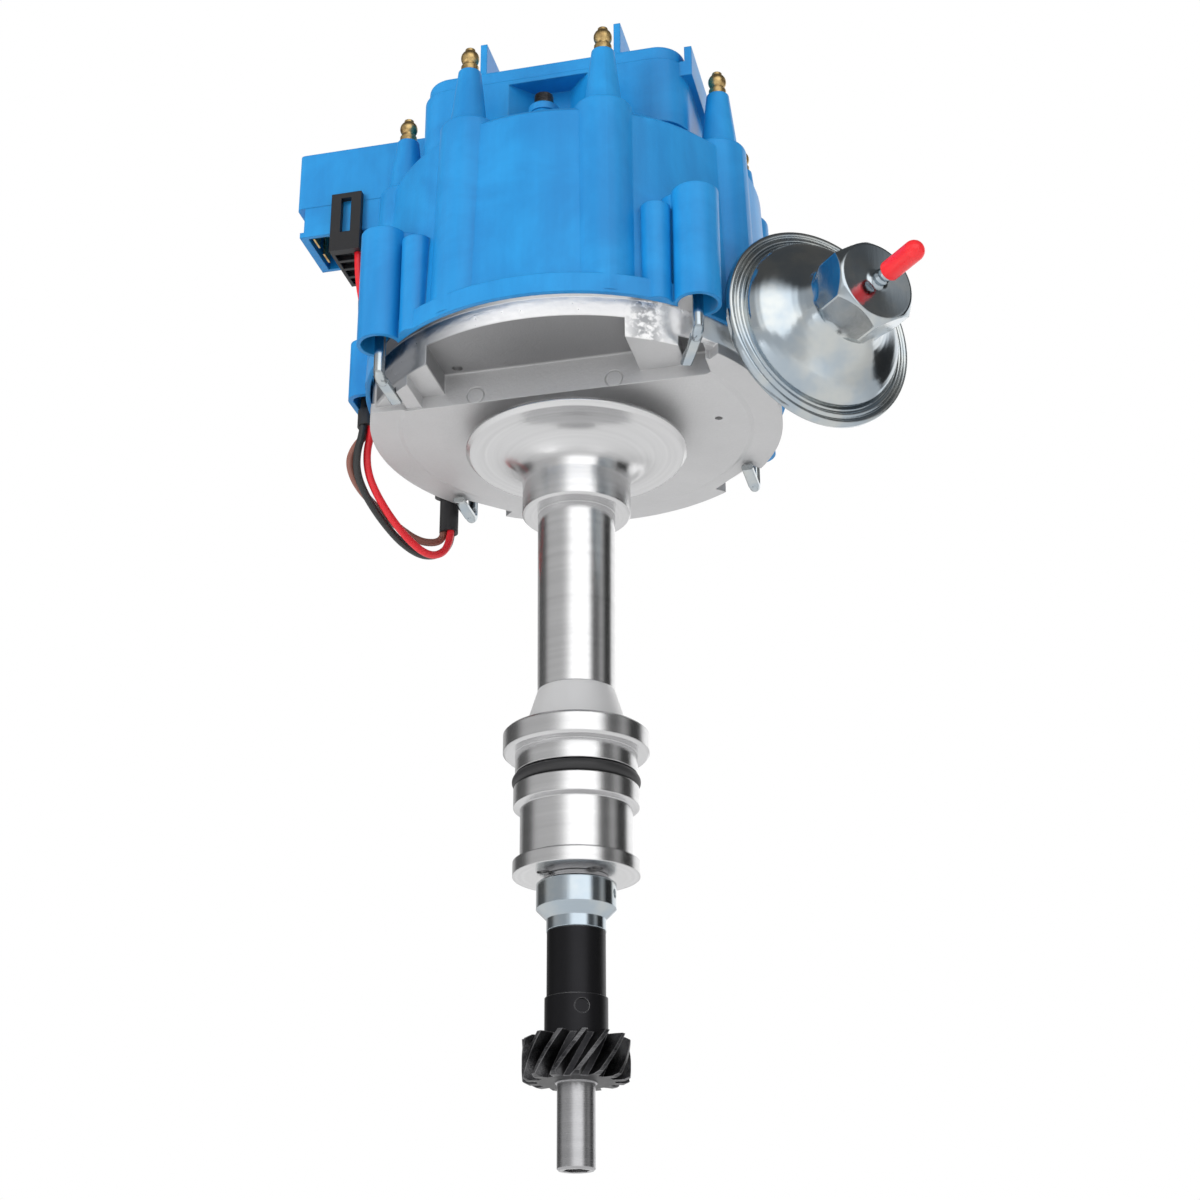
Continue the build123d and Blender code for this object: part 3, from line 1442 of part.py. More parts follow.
def wire_points(number):
    """Route of one wire: plug, guard, first sleeve, the free loop below, second sleeve."""
    plug_x, plug_y = plug_wire_place(number)
    upper_x, upper_y = upper_wire_place(number)
    lower_x, lower_y = lower_wire_place(number)
    entry = sleeve_entries[number]
    points = [(plug_x, plug_y, plug_bottom + plug_wire_depth - touch_gap)]
    points += plug_runs[number]
    points += [(upper_x, upper_y, upper_sleeve_top + 2.0), (upper_x, upper_y, sleeve_exits[number])]
    points += free_loops[number]
    points += [(lower_x, lower_y, entry), (lower_x - wire_slip / 2, lower_y, (entry + entry_top) / 2)]
    return points + [(lower_x, lower_y, entry_top - touch_gap)]


def wire(number):
    """Tube along straight runs and arcs, each arc as large as its two runs allow."""
    points = [Vector(*point) for point in wire_points(number)]
    runs = [b - a for a, b in zip(points, points[1:])]
    radii = []
    for before, after in zip(runs, runs[1:]):
        turn = before.get_angle(after)
        shorter = min(before.length, after.length)
        radii.append(0.45 * shorter / tan(radians(turn / 2)))
    path = FilletPolyline(*points, radius=radii)
    solid = sweep(Plane(path @ 0, z_dir=path % 0) * Circle(wire_r), path=path)
    share = solid.volume / (pi * wire_r ** 2 * path.length)
    print("wire", number, "length", round(path.length, 1), "volume share", round(share, 4))
    print("wire", number, "radii", [round(radius, 1) for radius in radii])
    return solid


def upper_sleeve():
    """Shrunk sleeve on the three wires below the guard."""
    low = upper_sleeve_top - upper_sleeve_length
    body = post(wire_sleeve_r, low, upper_sleeve_top, upper_sleeve_x, 0)
    for number in range(3):
        body = body - post(wire_r + wire_slip, low - 1, upper_sleeve_top + 1, *upper_wire_place(number))
    return body - post(bundle_r / 2, low - 1, upper_sleeve_top + 1, upper_sleeve_x, 0)


def lower_sleeve():
    """Sleeve on the wires where they rise to the bowl's grommet."""
    low = entry_top - lower_sleeve_length
    middle = polar(lower_sleeve_circle_r, lower_sleeve_turn)
    body = post(wire_sleeve_r, low, entry_top, *middle)
    for number in range(3):
        body = body - post(wire_r + wire_slip, low - 1, entry_top + 1, *lower_wire_place(number))
    return body - post(bundle_r / 2, low - 1, entry_top + 1, *middle)


def grommet_block(inner, outer, side, low, high):
    return block(inner, outer, -grommet_width / 2 - side, grommet_width / 2 + side, low, high)


def grommet_slot():
    low = floor_top + 0.6
    return [Rot(0, 0, lower_sleeve_turn) * grommet_block(bowl_r - bowl_wall_thickness - 1, bowl_edge_r + 1, 0, low,
                                                         low + grommet_height)]


def harness_grommet():
    """Rubber elbow seated in the bowl's wall, which the wires enter from below."""
    low = floor_top + 0.6
    high = low + grommet_height
    through = grommet_block(bowl_r - bowl_wall_thickness - 2.0, bowl_edge_r, 0, low, high)
    lip = grommet_block(bowl_edge_r, bowl_edge_r + 1.2, 1.0, low, high)
    out = grommet_block(bowl_edge_r + touch_gap, lower_sleeve_circle_r + wire_sleeve_r, 0, entry_top, high)
    out = fillet(out.edges().filter_by(Axis.Z).group_by(Axis.X)[-1], 3.0)
    return Rot(0, 0, lower_sleeve_turn) * (through + lip + out)


def parts():
    """Every piece by its name."""
    pieces = {
        "housing": housing(),
        "lower_bushing": bushing(stem_bottom),
        "upper_bushing": bushing(pilot_post_top - bushing_length),
        "stem_o_ring": stem_o_ring(),
        "shaft_seal": shaft_seal(),
        "shaft": shaft(),
        "thrust_washer": thrust_washer_ring(),
        "thrust_collar": thrust_collar(),
        "collar_pin": cross_pin(collar_pin_r, collar_low + collar_height / 2, collar_pin_turn, collar_r, 0.6),
        "drive_gear": drive_gear(),
        "gear_pin": cross_pin(gear_pin_r, gear_pin_height, gear_pin_turn, gear_hub_r, 0.7),
        "cap": cap(),
        "spark_terminals": spark_terminals(),
        "supply_terminals": supply_terminals(),
        "coil_cover": coil_cover(),
        "cover_screws": cover_screws(),
        "coil_core": coil_core(),
        "coil_winding": coil_winding(),
        "coil_screws": coil_screws(),
        "coil_seal": coil_seal(),
        "contact_spring": contact_spring(),
        "coil_contact": coil_contact(),
        "latch_springs": latch_springs(),
        "vacuum_front_shell": vacuum_front_shell(),
        "vacuum_back_shell": vacuum_back_shell(),
        "vacuum_screws": vacuum_screws(),
        "vacuum_diaphragm": vacuum_diaphragm(),
        "vacuum_spring": vacuum_spring(),
        "vacuum_rod": vacuum_rod(),
        "adjuster_screw": adjuster_screw(),
        "vacuum_port_cap": vacuum_port_cap(),
        "pickup_plate": pickup_plate_body(),
        "pickup_retainer": pickup_retainer(),
        "pickup_magnet": pickup_magnet(),
        "pickup_coil": pickup_coil(),
        "pole_piece": pole_piece(),
        "reluctor": reluctor(),
        "weight_base": weight_base(),
        "weight_a": weight(),
        "weight_b": Rot(0, 0, 180) * weight(),
        "advance_cam": advance_cam(),
        "advance_springs": advance_springs(),
        "rotor": rotor(),
        "rotor_blade": rotor_blade_strip(),
        "rotor_screws": rotor_screws(),
        "ignition_module": ignition_module(),
        "module_screws": module_screws(),
        "capacitor": capacitor(),
        "capacitor_screw": capacitor_screw(),
        "harness_plug": harness_plug(),
        "upper_sleeve": upper_sleeve(),
        "lower_sleeve": lower_sleeve(),
        "harness_grommet": harness_grommet(),
    }
    for number in range(len(latch_turns)):
        pieces[f"latch_{number + 1}"] = latch(number)
    for number, name in enumerate(("red_wire", "black_wire", "brown_wire")):
        pieces[name] = wire(number)
    return pieces


os.makedirs("parts", exist_ok=True)
for node, shape in parts().items():
    export_step(shape, f"parts/{node}.step")
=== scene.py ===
import math
import bpy
import numpy as np
from mathutils import Matrix, Vector


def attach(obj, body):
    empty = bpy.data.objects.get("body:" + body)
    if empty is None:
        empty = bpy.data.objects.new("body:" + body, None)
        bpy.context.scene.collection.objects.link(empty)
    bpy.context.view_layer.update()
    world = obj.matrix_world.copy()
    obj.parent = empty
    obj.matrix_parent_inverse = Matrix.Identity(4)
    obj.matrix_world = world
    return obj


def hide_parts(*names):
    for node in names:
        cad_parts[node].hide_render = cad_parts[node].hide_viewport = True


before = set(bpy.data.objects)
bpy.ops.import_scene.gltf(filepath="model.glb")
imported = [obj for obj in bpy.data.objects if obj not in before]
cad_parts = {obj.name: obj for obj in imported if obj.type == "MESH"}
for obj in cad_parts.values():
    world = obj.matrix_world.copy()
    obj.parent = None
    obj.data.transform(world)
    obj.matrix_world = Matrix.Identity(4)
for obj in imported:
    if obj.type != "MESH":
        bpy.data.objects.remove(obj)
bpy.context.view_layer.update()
print("solids loaded:", len(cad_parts))


# Small shader language: sockets that add, subtract and multiply like numbers

class Field:
    # wraps one output socket, so that masks read as sums and products
    def __init__(self, graph, socket):
        self.graph = graph
        self.socket = socket

    def __add__(self, other):
        return self.graph.maths("ADD", self, other)

    def __radd__(self, other):
        return self.graph.maths("ADD", other, self)

    def __sub__(self, other):
        return self.graph.maths("SUBTRACT", self, other)

    def __rsub__(self, other):
        return self.graph.maths("SUBTRACT", other, self)

    def __mul__(self, other):
        return self.graph.maths("MULTIPLY", self, other)

    def __rmul__(self, other):
        return self.graph.maths("MULTIPLY", other, self)


class Graph:
    # one node tree, emptied first
    def __init__(self, tree):
        self.tree = tree
        tree.nodes.clear()

    def feed(self, entry, value):
        # a field or socket is linked, a tuple is set as a colour, a number as it is
        if isinstance(value, Field):
            value = value.socket
        if isinstance(value, bpy.types.NodeSocket):
            self.tree.links.new(value, entry)
        else:
            entry.default_value = (*value, 1) if isinstance(value, tuple) else value

    def make(self, kind, settings=None, inputs=None):
        # any node: its own settings first, then the values or links of its sockets
        node = self.tree.nodes.new(kind)
        for key, value in (settings or {}).items():
            if key == "stops":
                ramp = node.color_ramp.elements
                while len(ramp) < len(value):
                    ramp.new(0.5)
                for element, (place, colour) in zip(ramp, value):
                    element.position = place
                    element.color = (*colour, 1)
            else:
                setattr(node, key, value)
        for key, value in (inputs or {}).items():
            self.feed(node.inputs[key], value)
        return node

    def maths(self, operation, *values):
        node = self.make("ShaderNodeMath", {"operation": operation}, dict(enumerate(values)))
        return Field(self, node.outputs[0])

    def larger(self, one, other):
        return self.maths("MAXIMUM", one, other)

    def length(self, x, y):
        return self.maths("SQRT", x * x + y * y)

    def rise(self, value, low, high):
        # 0 below low, 1 above high, smooth between
        settings = {"interpolation_type": "SMOOTHSTEP"}
        node = self.make("ShaderNodeMapRange", settings, {0: value, 1: low, 2: high})
        return Field(self, node.outputs[0])

    def past(self, value, place):
        # 0 before a place and 1 past it, where a place is an edge and half its soft width
        edge, soft = place
        return self.rise(value, edge - soft, edge + soft)

    def between(self, value, start, end):
        return self.past(value, start) * (1 - self.past(value, end))

    def split(self, vector):
        node = self.make("ShaderNodeSeparateXYZ", {}, {0: vector})
        return [Field(self, socket) for socket in node.outputs]

    def vector(self, x, y, z):
        return self.make("ShaderNodeCombineXYZ", {}, {0: x, 1: y, 2: z}).outputs[0]

    def mix(self, factor, colours):
        # colour between the two of a pair
        inputs = {0: factor, 6: colours[0], 7: colours[1]}
        return self.make("ShaderNodeMix", {"data_type": "RGBA"}, inputs).outputs[2]


class Finish(Graph):
    # one material's node tree, with its principled shader and its object coordinates
    def __init__(self, name, **settings):
        self.material = bpy.data.materials.new(name)
        self.material.use_nodes = True
        super().__init__(self.material.node_tree)
        self.shader = self.make("ShaderNodeBsdfPrincipled")
        self.make("ShaderNodeOutputMaterial", {}, {0: self.shader.outputs[0]})
        self.point = self.make("ShaderNodeTexCoord").outputs["Object"]
        self.x, self.y, self.z = self.split(self.point)
        for label, value in settings.items():
            self.put(label, value)

    def put(self, label, value):
        self.feed(self.shader.inputs[label], value)

    def radius(self):
        # distance from the shaft's axis
        return self.length(self.x, self.y)

    def noise(self, scale, detail=3.0, rough=0.55, at=None, warp=0.0):
        inputs = {"Vector": at or self.point, "Scale": scale, "Detail": detail,
                  "Roughness": rough, "Distortion": warp}
        return Field(self, self.make("ShaderNodeTexNoise", {}, inputs).outputs["Fac"])

    def streaks(self, x, y, z, detail=3.0, rough=0.6):
        # noise with its own scale in each direction
        return self.noise(1.0, detail, rough, self.vector(x, y, z))

    def soften(self, size):
        # normal that rounds the edges by size, in metres
        return self.make("ShaderNodeBevel", {"samples": 6}, {"Radius": size}).outputs[0]

    def edges(self, size):
        # 1 along outer and inner edges, 0 on open faces
        flat = self.make("ShaderNodeNewGeometry").outputs["Normal"]
        both = {0: self.soften(size), 1: flat}
        same = self.make("ShaderNodeVectorMath", {"operation": "DOT_PRODUCT"}, both)
        return self.rise(1 - Field(self, same.outputs["Value"]), 0.02, 0.25)

    def lean(self, normal, x, y, z):
        # normal turned towards a direction
        both = {0: normal, 1: self.vector(x, y, z)}
        total = self.make("ShaderNodeVectorMath", {"operation": "ADD"}, both).outputs[0]
        return self.make("ShaderNodeVectorMath", {"operation": "NORMALIZE"}, {0: total}).outputs[0]

    def relief(self, height, depth, normal):
        # bump of that depth, in metres, over a normal
        inputs = {"Height": height, "Distance": depth, "Strength": 1.0, "Normal": normal}
        return self.make("ShaderNodeBump", {}, inputs).outputs[0]


# Finishes
# Noise scales are in cells per metre, grains, edges and places in metres. A place is an edge and half
# its soft width. A pair of colours is the darker and the lighter end, unless its name says otherwise.

cast = {
    "grain": 0.00010, "edge": 0.0006, "coarse": 900.0, "fine": 4200.0, "skin": 420.0, "stain": 36.0,
    "lathe": (5200.0, 5200.0, 9.0), "wide": (900.0, 420.0, 20.0),
    # the pocket colour below is painted shade: the front pocket's ceiling faces away from the light
    "castGrey": ((0.50, 0.50, 0.505), (0.64, 0.64, 0.645)), "pocketShade": (0.30, 0.30, 0.305),
    "turnedGrey": ((0.52, 0.52, 0.525), (0.68, 0.68, 0.685)), "coneGrey": (0.58, 0.58, 0.585),
    # the band pair below is painted reflection: its dark and its light strips
    "bandReflection": ((0.26, 0.27, 0.29), (0.92, 0.92, 0.925)),
    "metal": 0.72, "coneMetal": 0.65, "turnedRough": 0.15, "castRough": 0.46, "bandRough": 0.24,
    "hubRadius": (0.0420, 0.0003), "hubTop": (0.12105, 0.00015),
    "coneBottom": (0.0086, 0.0004), "coneTop": (0.0238, 0.0004), "coneRadius": (0.0133, 0.0003),
    "front": (-0.0340, 0.0005), "wallCentre": (-0.0029, 0.0168),
    "pocketRadius": (0.0814, 0.0002), "pocketBottom": (0.13275, 0.00025),
    "wallRadius": (0.0815, 0.0002), "wallBottom": (0.13175, 0.00075), "wallLean": -0.55,
    "bandRadius": (0.07585, 0.00015), "bandBottom": (0.1319, 0.0002),
    # the sheen places set where the band's painted reflection turns light, and the patch where it is
    # speckled weaker
    "sheenLeft": (-0.024, 0.028), "sheenBack": (-0.010, 0.020),
    "patchLeft": (0.0340, 0.004), "patchRight": (0.0430, 0.004),
}


def castAluminium():
    # one casting: turned stem and hub, grey cast bowl with painted shade in its front pocket, bumpy
    # bright band under the cap with painted reflections in dark and light strips
    g = Finish("castAluminium")
    r = g.radius()
    wallX, wallY = cast["wallCentre"]
    wallR = g.length(g.x - wallX, g.y - wallY)
    ahead = 1 - g.past(g.y, cast["front"])
    pocket = ahead * g.past(g.z, cast["pocketBottom"]) * (1 - g.past(wallR, cast["pocketRadius"]))
    wall = ahead * g.past(wallR, cast["wallRadius"]) * g.past(g.z, cast["wallBottom"])
    band = g.larger(g.past(r, cast["bandRadius"]) * g.past(g.z, cast["bandBottom"]), wall)
    hub = (1 - g.past(r, cast["hubRadius"])) * (1 - g.past(g.z, cast["hubTop"]))
    turned = hub * (1 - band)
    cone = g.between(g.z, cast["coneBottom"], cast["coneTop"]) * g.past(r, cast["coneRadius"])
    acrossLathe, upLathe, alongLathe = cast["lathe"]
    lines = g.streaks(r * acrossLathe, g.z * upLathe, g.x * alongLathe, 4.0, 0.7)
    acrossWide, upWide, alongWide = cast["wide"]
    wide = g.streaks(r * acrossWide, g.z * upWide, g.y * alongWide, 2.0, 0.5)
    grain = g.noise(cast["fine"], 4.0, 0.65)
    lumps = g.noise(cast["coarse"], 3.0, 0.6)
    stain = g.noise(cast["stain"], 4.0, 0.6)
    skin = g.noise(cast["skin"], 2.0, 0.5)

    castColour = g.mix(stain * 0.7 + lumps * 0.3, cast["castGrey"])
    # painted shade: the front pocket's ceiling is darkened
    castColour = g.mix(pocket, (castColour, cast["pocketShade"]))
    turnedColour = g.mix(cone, (g.mix(wide, cast["turnedGrey"]), cast["coneGrey"]))
    # painted reflection: the band is light on its left and at the back, dark elsewhere, and weaker in a
    # speckled patch
    patch = g.between(g.x, cast["patchLeft"], cast["patchRight"]) * g.rise(skin, 0.40, 0.60)
    sheen = g.past(g.x, cast["sheenLeft"]) * (1 - 0.8 * patch)
    sheen = g.larger(sheen, g.past(g.y, cast["sheenBack"]))
    colour = g.mix(turned, (castColour, turnedColour))
    g.put("Base Color", g.mix(band, (colour, g.mix(sheen, cast["bandReflection"]))))
    bright = (1 - cast["metal"]) * g.larger(turned, band)
    g.put("Metallic", cast["metal"] + bright - cast["coneMetal"] * cone)

    turnedRough = cast["turnedRough"] + lines * 0.13 + cone * 0.16
    castRough = cast["castRough"] + grain * 0.16
    rough = castRough + (turnedRough - castRough) * turned
    g.put("Roughness", rough + (cast["bandRough"] + skin * 0.12 - rough) * band)
    turnedHeight = (lines * 0.20 + cone * grain * 0.6) * turned
    castHeight = (grain * 0.7 + lumps * 1.1) * (1 - turned) * (1 - band)
    height = turnedHeight + castHeight + skin * 1.1 * band
    normal = g.lean(g.soften(cast["edge"]), 0.0, 0.0, wall * cast["wallLean"])
    g.put("Normal", g.relief(height, cast["grain"], normal))
    return g.material


bluePaint = {
    "colours": ((0.006, 0.192, 0.490), (0.011, 0.272, 0.630)), "specular": 0.42, "rough": 0.30,
    "grain": 0.00004, "edge": 0.0007, "cloud": 28.0, "flow": (160.0, 14.0), "skin": 900.0, "pits": 3200.0,
}


def blueMoulding():
    # satin moulded plastic with faint flow marks and a soft cloudy sheen
    g = Finish("blueMoulding", **{"Specular IOR Level": bluePaint["specular"]})
    across, up = bluePaint["flow"]
    cloud = g.noise(bluePaint["cloud"], 4.0, 0.6, warp=0.6)
    flow = g.streaks(g.x * across, g.y * across, g.z * up)
    skin = g.noise(bluePaint["skin"], 2.0, 0.5)
    pits = g.noise(bluePaint["pits"], 2.0, 0.5)
    g.put("Base Color", g.mix(g.rise(cloud * 0.7 + flow * 0.3, 0.30, 0.72), bluePaint["colours"]))
    g.put("Roughness", bluePaint["rough"] + cloud * 0.10 + pits * 0.06)
    height = skin + pits * 0.4 + flow * 2.0
    g.put("Normal", g.relief(height, bluePaint["grain"], g.soften(bluePaint["edge"])))
    return g.material


zinc = {
    "colours": ((0.38, 0.44, 0.49), (0.52, 0.54, 0.53)), "rough": 0.07,
    "grain": 0.00002, "edge": 0.0005, "cloud": 60.0, "drawn": (700.0, 90.0), "fine": 3600.0,
}


def zincPlate():
    # bright passivated zinc, a little uneven in tint and gloss
    g = Finish("zincPlate", Metallic=1.0)
    across, up = zinc["drawn"]
    cloud = g.noise(zinc["cloud"], 3.0, 0.6)
    drawn = g.streaks(g.x * across, g.y * across, g.z * up)
    fine = g.noise(zinc["fine"], 2.0, 0.5)
    g.put("Base Color", g.mix(g.rise(cloud, 0.35, 0.70), zinc["colours"]))
    g.put("Roughness", zinc["rough"] + cloud * 0.08 + fine * 0.04)
    g.put("Normal", g.relief(drawn + fine * 0.5, zinc["grain"], g.soften(zinc["edge"])))
    return g.material


ground = {
    "colours": ((0.30, 0.30, 0.31), (0.44, 0.44, 0.45)), "rough": 0.20,
    "grain": 0.00002, "edge": 0.0004, "rings": 5200.0, "along": 12.0, "bands": 260.0,
}


def groundSteel():
    # ground shaft with fine rings and a few brighter bands
    g = Finish("groundSteel", Metallic=1.0)
    rings = g.streaks(g.z * ground["rings"], g.radius() * ground["rings"], g.x * ground["along"],
                      4.0, 0.7)
    bands = g.streaks(g.z * ground["bands"], 0.0, 0.0, 2.0, 0.5)
    g.put("Base Color", g.mix(bands, ground["colours"]))
    g.put("Roughness", ground["rough"] + rings * 0.16)
    g.put("Normal", g.relief(rings, ground["grain"], g.soften(ground["edge"])))
    return g.material


plain = {
    "colours": ((0.42, 0.42, 0.43), (0.62, 0.62, 0.63)), "rough": 0.28,
    "grain": 0.00003, "edge": 0.0003, "cloud": 220.0, "fine": 2600.0,
}


def plainSteel():
    # small screws, springs and sheet parts
    g = Finish("plainSteel", Metallic=1.0)
    cloud = g.noise(plain["cloud"], 3.0, 0.6)
    g.put("Base Color", g.mix(cloud, plain["colours"]))
    g.put("Roughness", plain["rough"] + cloud * 0.15)
    g.put("Normal", g.relief(g.noise(plain["fine"]), plain["grain"], g.soften(plain["edge"])))
    return g.material


oxide = {
    "colours": ((0.022, 0.022, 0.024), (0.36, 0.36, 0.37)), "rough": 0.30,
    "grain": 0.00003, "edge": 0.0004, "worn": 0.0007, "flank": (0.0135, 0.0015),
    "cloud": 90.0, "milled": 3800.0, "along": 30.0, "coarse": 1800.0,
}


def blackOxide():
    # dark blued steel, rubbed bright along the tooth edges and on the tooth flanks
    g = Finish("blackOxide", Metallic=1.0)
    r = g.radius()
    cloud = g.noise(oxide["cloud"], 3.0, 0.6)
    milled = g.streaks(r * oxide["milled"], g.z * oxide["milled"], g.x * oxide["along"])
    rubbed = g.edges(oxide["worn"]) * g.rise(cloud, 0.25, 0.6) * 0.8
    flank = g.past(r, oxide["flank"]) * g.rise(cloud * 0.6 + milled * 0.4, 0.42, 0.62) * 0.35
    g.put("Base Color", g.mix(g.larger(rubbed, flank), oxide["colours"]))
    g.put("Roughness", oxide["rough"] + cloud * 0.12 + milled * 0.10)
    height = milled + g.noise(oxide["coarse"]) * 0.6
    g.put("Normal", g.relief(height, oxide["grain"], g.soften(oxide["edge"])))
    return g.material


brass = {
    "cleanAndTarnished": ((0.60, 0.43, 0.19), (0.30, 0.19, 0.08)), "rough": 0.30,
    "grain": 0.00002, "edge": 0.0003, "tarnish": 420.0, "turned": (6000.0, 40.0),
}


def brightBrass():
    # turned brass with a little tarnish
    g = Finish("brightBrass", Metallic=1.0)
    up, across = brass["turned"]
    tarnish = g.noise(brass["tarnish"], 3.0, 0.6)
    turning = g.streaks(g.z * up, g.x * across, g.y * across)
    g.put("Base Color", g.mix(g.rise(tarnish, 0.40, 0.75), brass["cleanAndTarnished"]))
    g.put("Roughness", brass["rough"] + turning * 0.12)
    g.put("Normal", g.relief(turning, brass["grain"], g.soften(brass["edge"])))
    return g.material


lamination = {
    "colours": ((0.10, 0.09, 0.09), (0.45, 0.45, 0.46)), "rough": 0.36,
    "grain": 0.00004, "edge": 0.0003, "pitch": 0.0008, "fine": 900.0,
}


def laminated():
    # stacked sheet: dark lines between thin bright layers
    g = Finish("laminated", Metallic=1.0)
    layer = g.maths("SINE", g.z * (2 * math.pi / lamination["pitch"]))
    g.put("Base Color", g.mix(g.rise(layer, -0.9, -0.2), lamination["colours"]))
    g.put("Roughness", lamination["rough"] + g.noise(lamination["fine"]) * 0.12)
    g.put("Normal", g.relief(layer, lamination["grain"], g.soften(lamination["edge"])))
    return g.material


# Moulded rubber and plastic: colour, roughness and scale of the skin
mouldings = {
    "blackRubber": ((0.012, 0.012, 0.013), 0.42, 1400.0),
    "plugPlastic": ((0.006, 0.006, 0.007), 0.40, 1100.0),
    "redRubber": ((0.640, 0.012, 0.018), 0.22, 500.0),
    "redInsulation": ((0.560, 0.006, 0.014), 0.28, 700.0),
    "blackInsulation": ((0.014, 0.015, 0.015), 0.34, 700.0),
    "brownInsulation": ((0.190, 0.075, 0.055), 0.34, 700.0),
    "rotorPlastic": ((0.030, 0.028, 0.026), 0.45, 1400.0),
    "copperWinding": ((0.260, 0.090, 0.030), 0.30, 1400.0),
    "bronzeBush": ((0.280, 0.170, 0.080), 0.45, 1400.0),
}
mouldedSkin = {"grain": 0.00004, "edge": 0.0004, "cloud": 55.0, "gain": 1.5, "lift": 0.006}


def moulding(name, colour, rough, scale):
    # plain surface with a fine skin and a faint cloud
    g = Finish(name)
    skin = g.noise(scale, 3.0, 0.6)
    cloud = g.noise(mouldedSkin["cloud"], 3.0, 0.6)
    lighter = tuple(min(1.0, c * mouldedSkin["gain"] + mouldedSkin["lift"]) for c in colour)
    g.put("Base Color", g.mix(cloud, (colour, lighter)))
    g.put("Roughness", rough + skin * 0.14)
    g.put("Normal", g.relief(skin, mouldedSkin["grain"], g.soften(mouldedSkin["edge"])))
    return g.material


finishes = {
    "castAluminium": castAluminium(),
    "blueMoulding": blueMoulding(),
    "zincPlate": zincPlate(),
    "groundSteel": groundSteel(),
    "plainSteel": plainSteel(),
    "blackOxide": blackOxide(),
    "brightBrass": brightBrass(),
    "laminated": laminated(),
}
for name, values in mouldings.items():
    finishes[name] = moulding(name, *values)
dressing = {
    "castAluminium": ["housing"],
    "blueMoulding": ["cap", "coil_cover"],
    "zincPlate": ["thrust_collar", "collar_pin", "vacuum_front_shell", "vacuum_back_shell",
                  "vacuum_rod", "capacitor", "latch_1", "latch_2", "latch_3", "latch_4",
                  "weight_base"],
    "groundSteel": ["shaft", "thrust_washer"],
    "plainSteel": ["coil_screws", "contact_spring", "latch_springs", "vacuum_screws", "vacuum_spring",
                   "pickup_plate", "pickup_retainer", "pole_piece", "reluctor", "weight_a", "weight_b",
                   "advance_cam", "advance_springs", "rotor_screws", "module_screws",
                   "capacitor_screw"],
    "blackOxide": ["drive_gear", "gear_pin", "cover_screws"],
    "brightBrass": ["spark_terminals", "supply_terminals", "adjuster_screw", "rotor_blade"],
    "laminated": ["coil_core"],
    "blackRubber": ["stem_o_ring", "shaft_seal", "coil_seal", "vacuum_diaphragm", "upper_sleeve",
                    "lower_sleeve", "harness_grommet"],
    "plugPlastic": ["harness_plug", "ignition_module", "coil_winding"],
    "redRubber": ["vacuum_port_cap"],
    "redInsulation": ["red_wire"],
    "blackInsulation": ["black_wire"],
    "brownInsulation": ["brown_wire"],
    "rotorPlastic": ["rotor", "pickup_magnet", "coil_contact"],
    "copperWinding": ["pickup_coil"],
    "bronzeBush": ["upper_bushing", "lower_bushing"],
}
for finish, names in dressing.items():
    for name in names:
        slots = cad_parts[name].data.materials
        slots.clear()
        slots.append(finishes[finish])
print("finishes given to", sum(len(names) for names in dressing.values()), "solids")


# Camera at the photograph's angle

photo = {"place": (0.16907, -0.66789, -0.24010), "turn": 13.5, "pitch": 23.52, "roll": -0.258,
         "lens": 62.46, "sensor": 36.0, "near": 0.01}


def setCamera():
    turn, pitch, roll = (math.radians(photo[k]) for k in ("turn", "pitch", "roll"))
    right = Vector((math.cos(turn), math.sin(turn), 0.0))
    ahead = Vector((-math.sin(turn), math.cos(turn), 0.0)) * math.cos(pitch)
    ahead.z = math.sin(pitch)
    up = right.cross(ahead)
    across = math.cos(roll) * right + math.sin(roll) * up
    over = math.cos(roll) * up - math.sin(roll) * right
    data = bpy.data.cameras.new("camera")
    data.lens = photo["lens"]
    data.sensor_width = photo["sensor"]
    data.clip_start = photo["near"]
    camera = bpy.data.objects.new("camera", data)
    bpy.context.scene.collection.objects.link(camera)
    basis = Matrix((across, over, -ahead)).transposed().to_4x4()
    camera.matrix_world = Matrix.Translation(photo["place"]) @ basis
    bpy.context.scene.camera = camera


setCamera()
print("camera placed")


# Wires: each a smooth line through the harness route

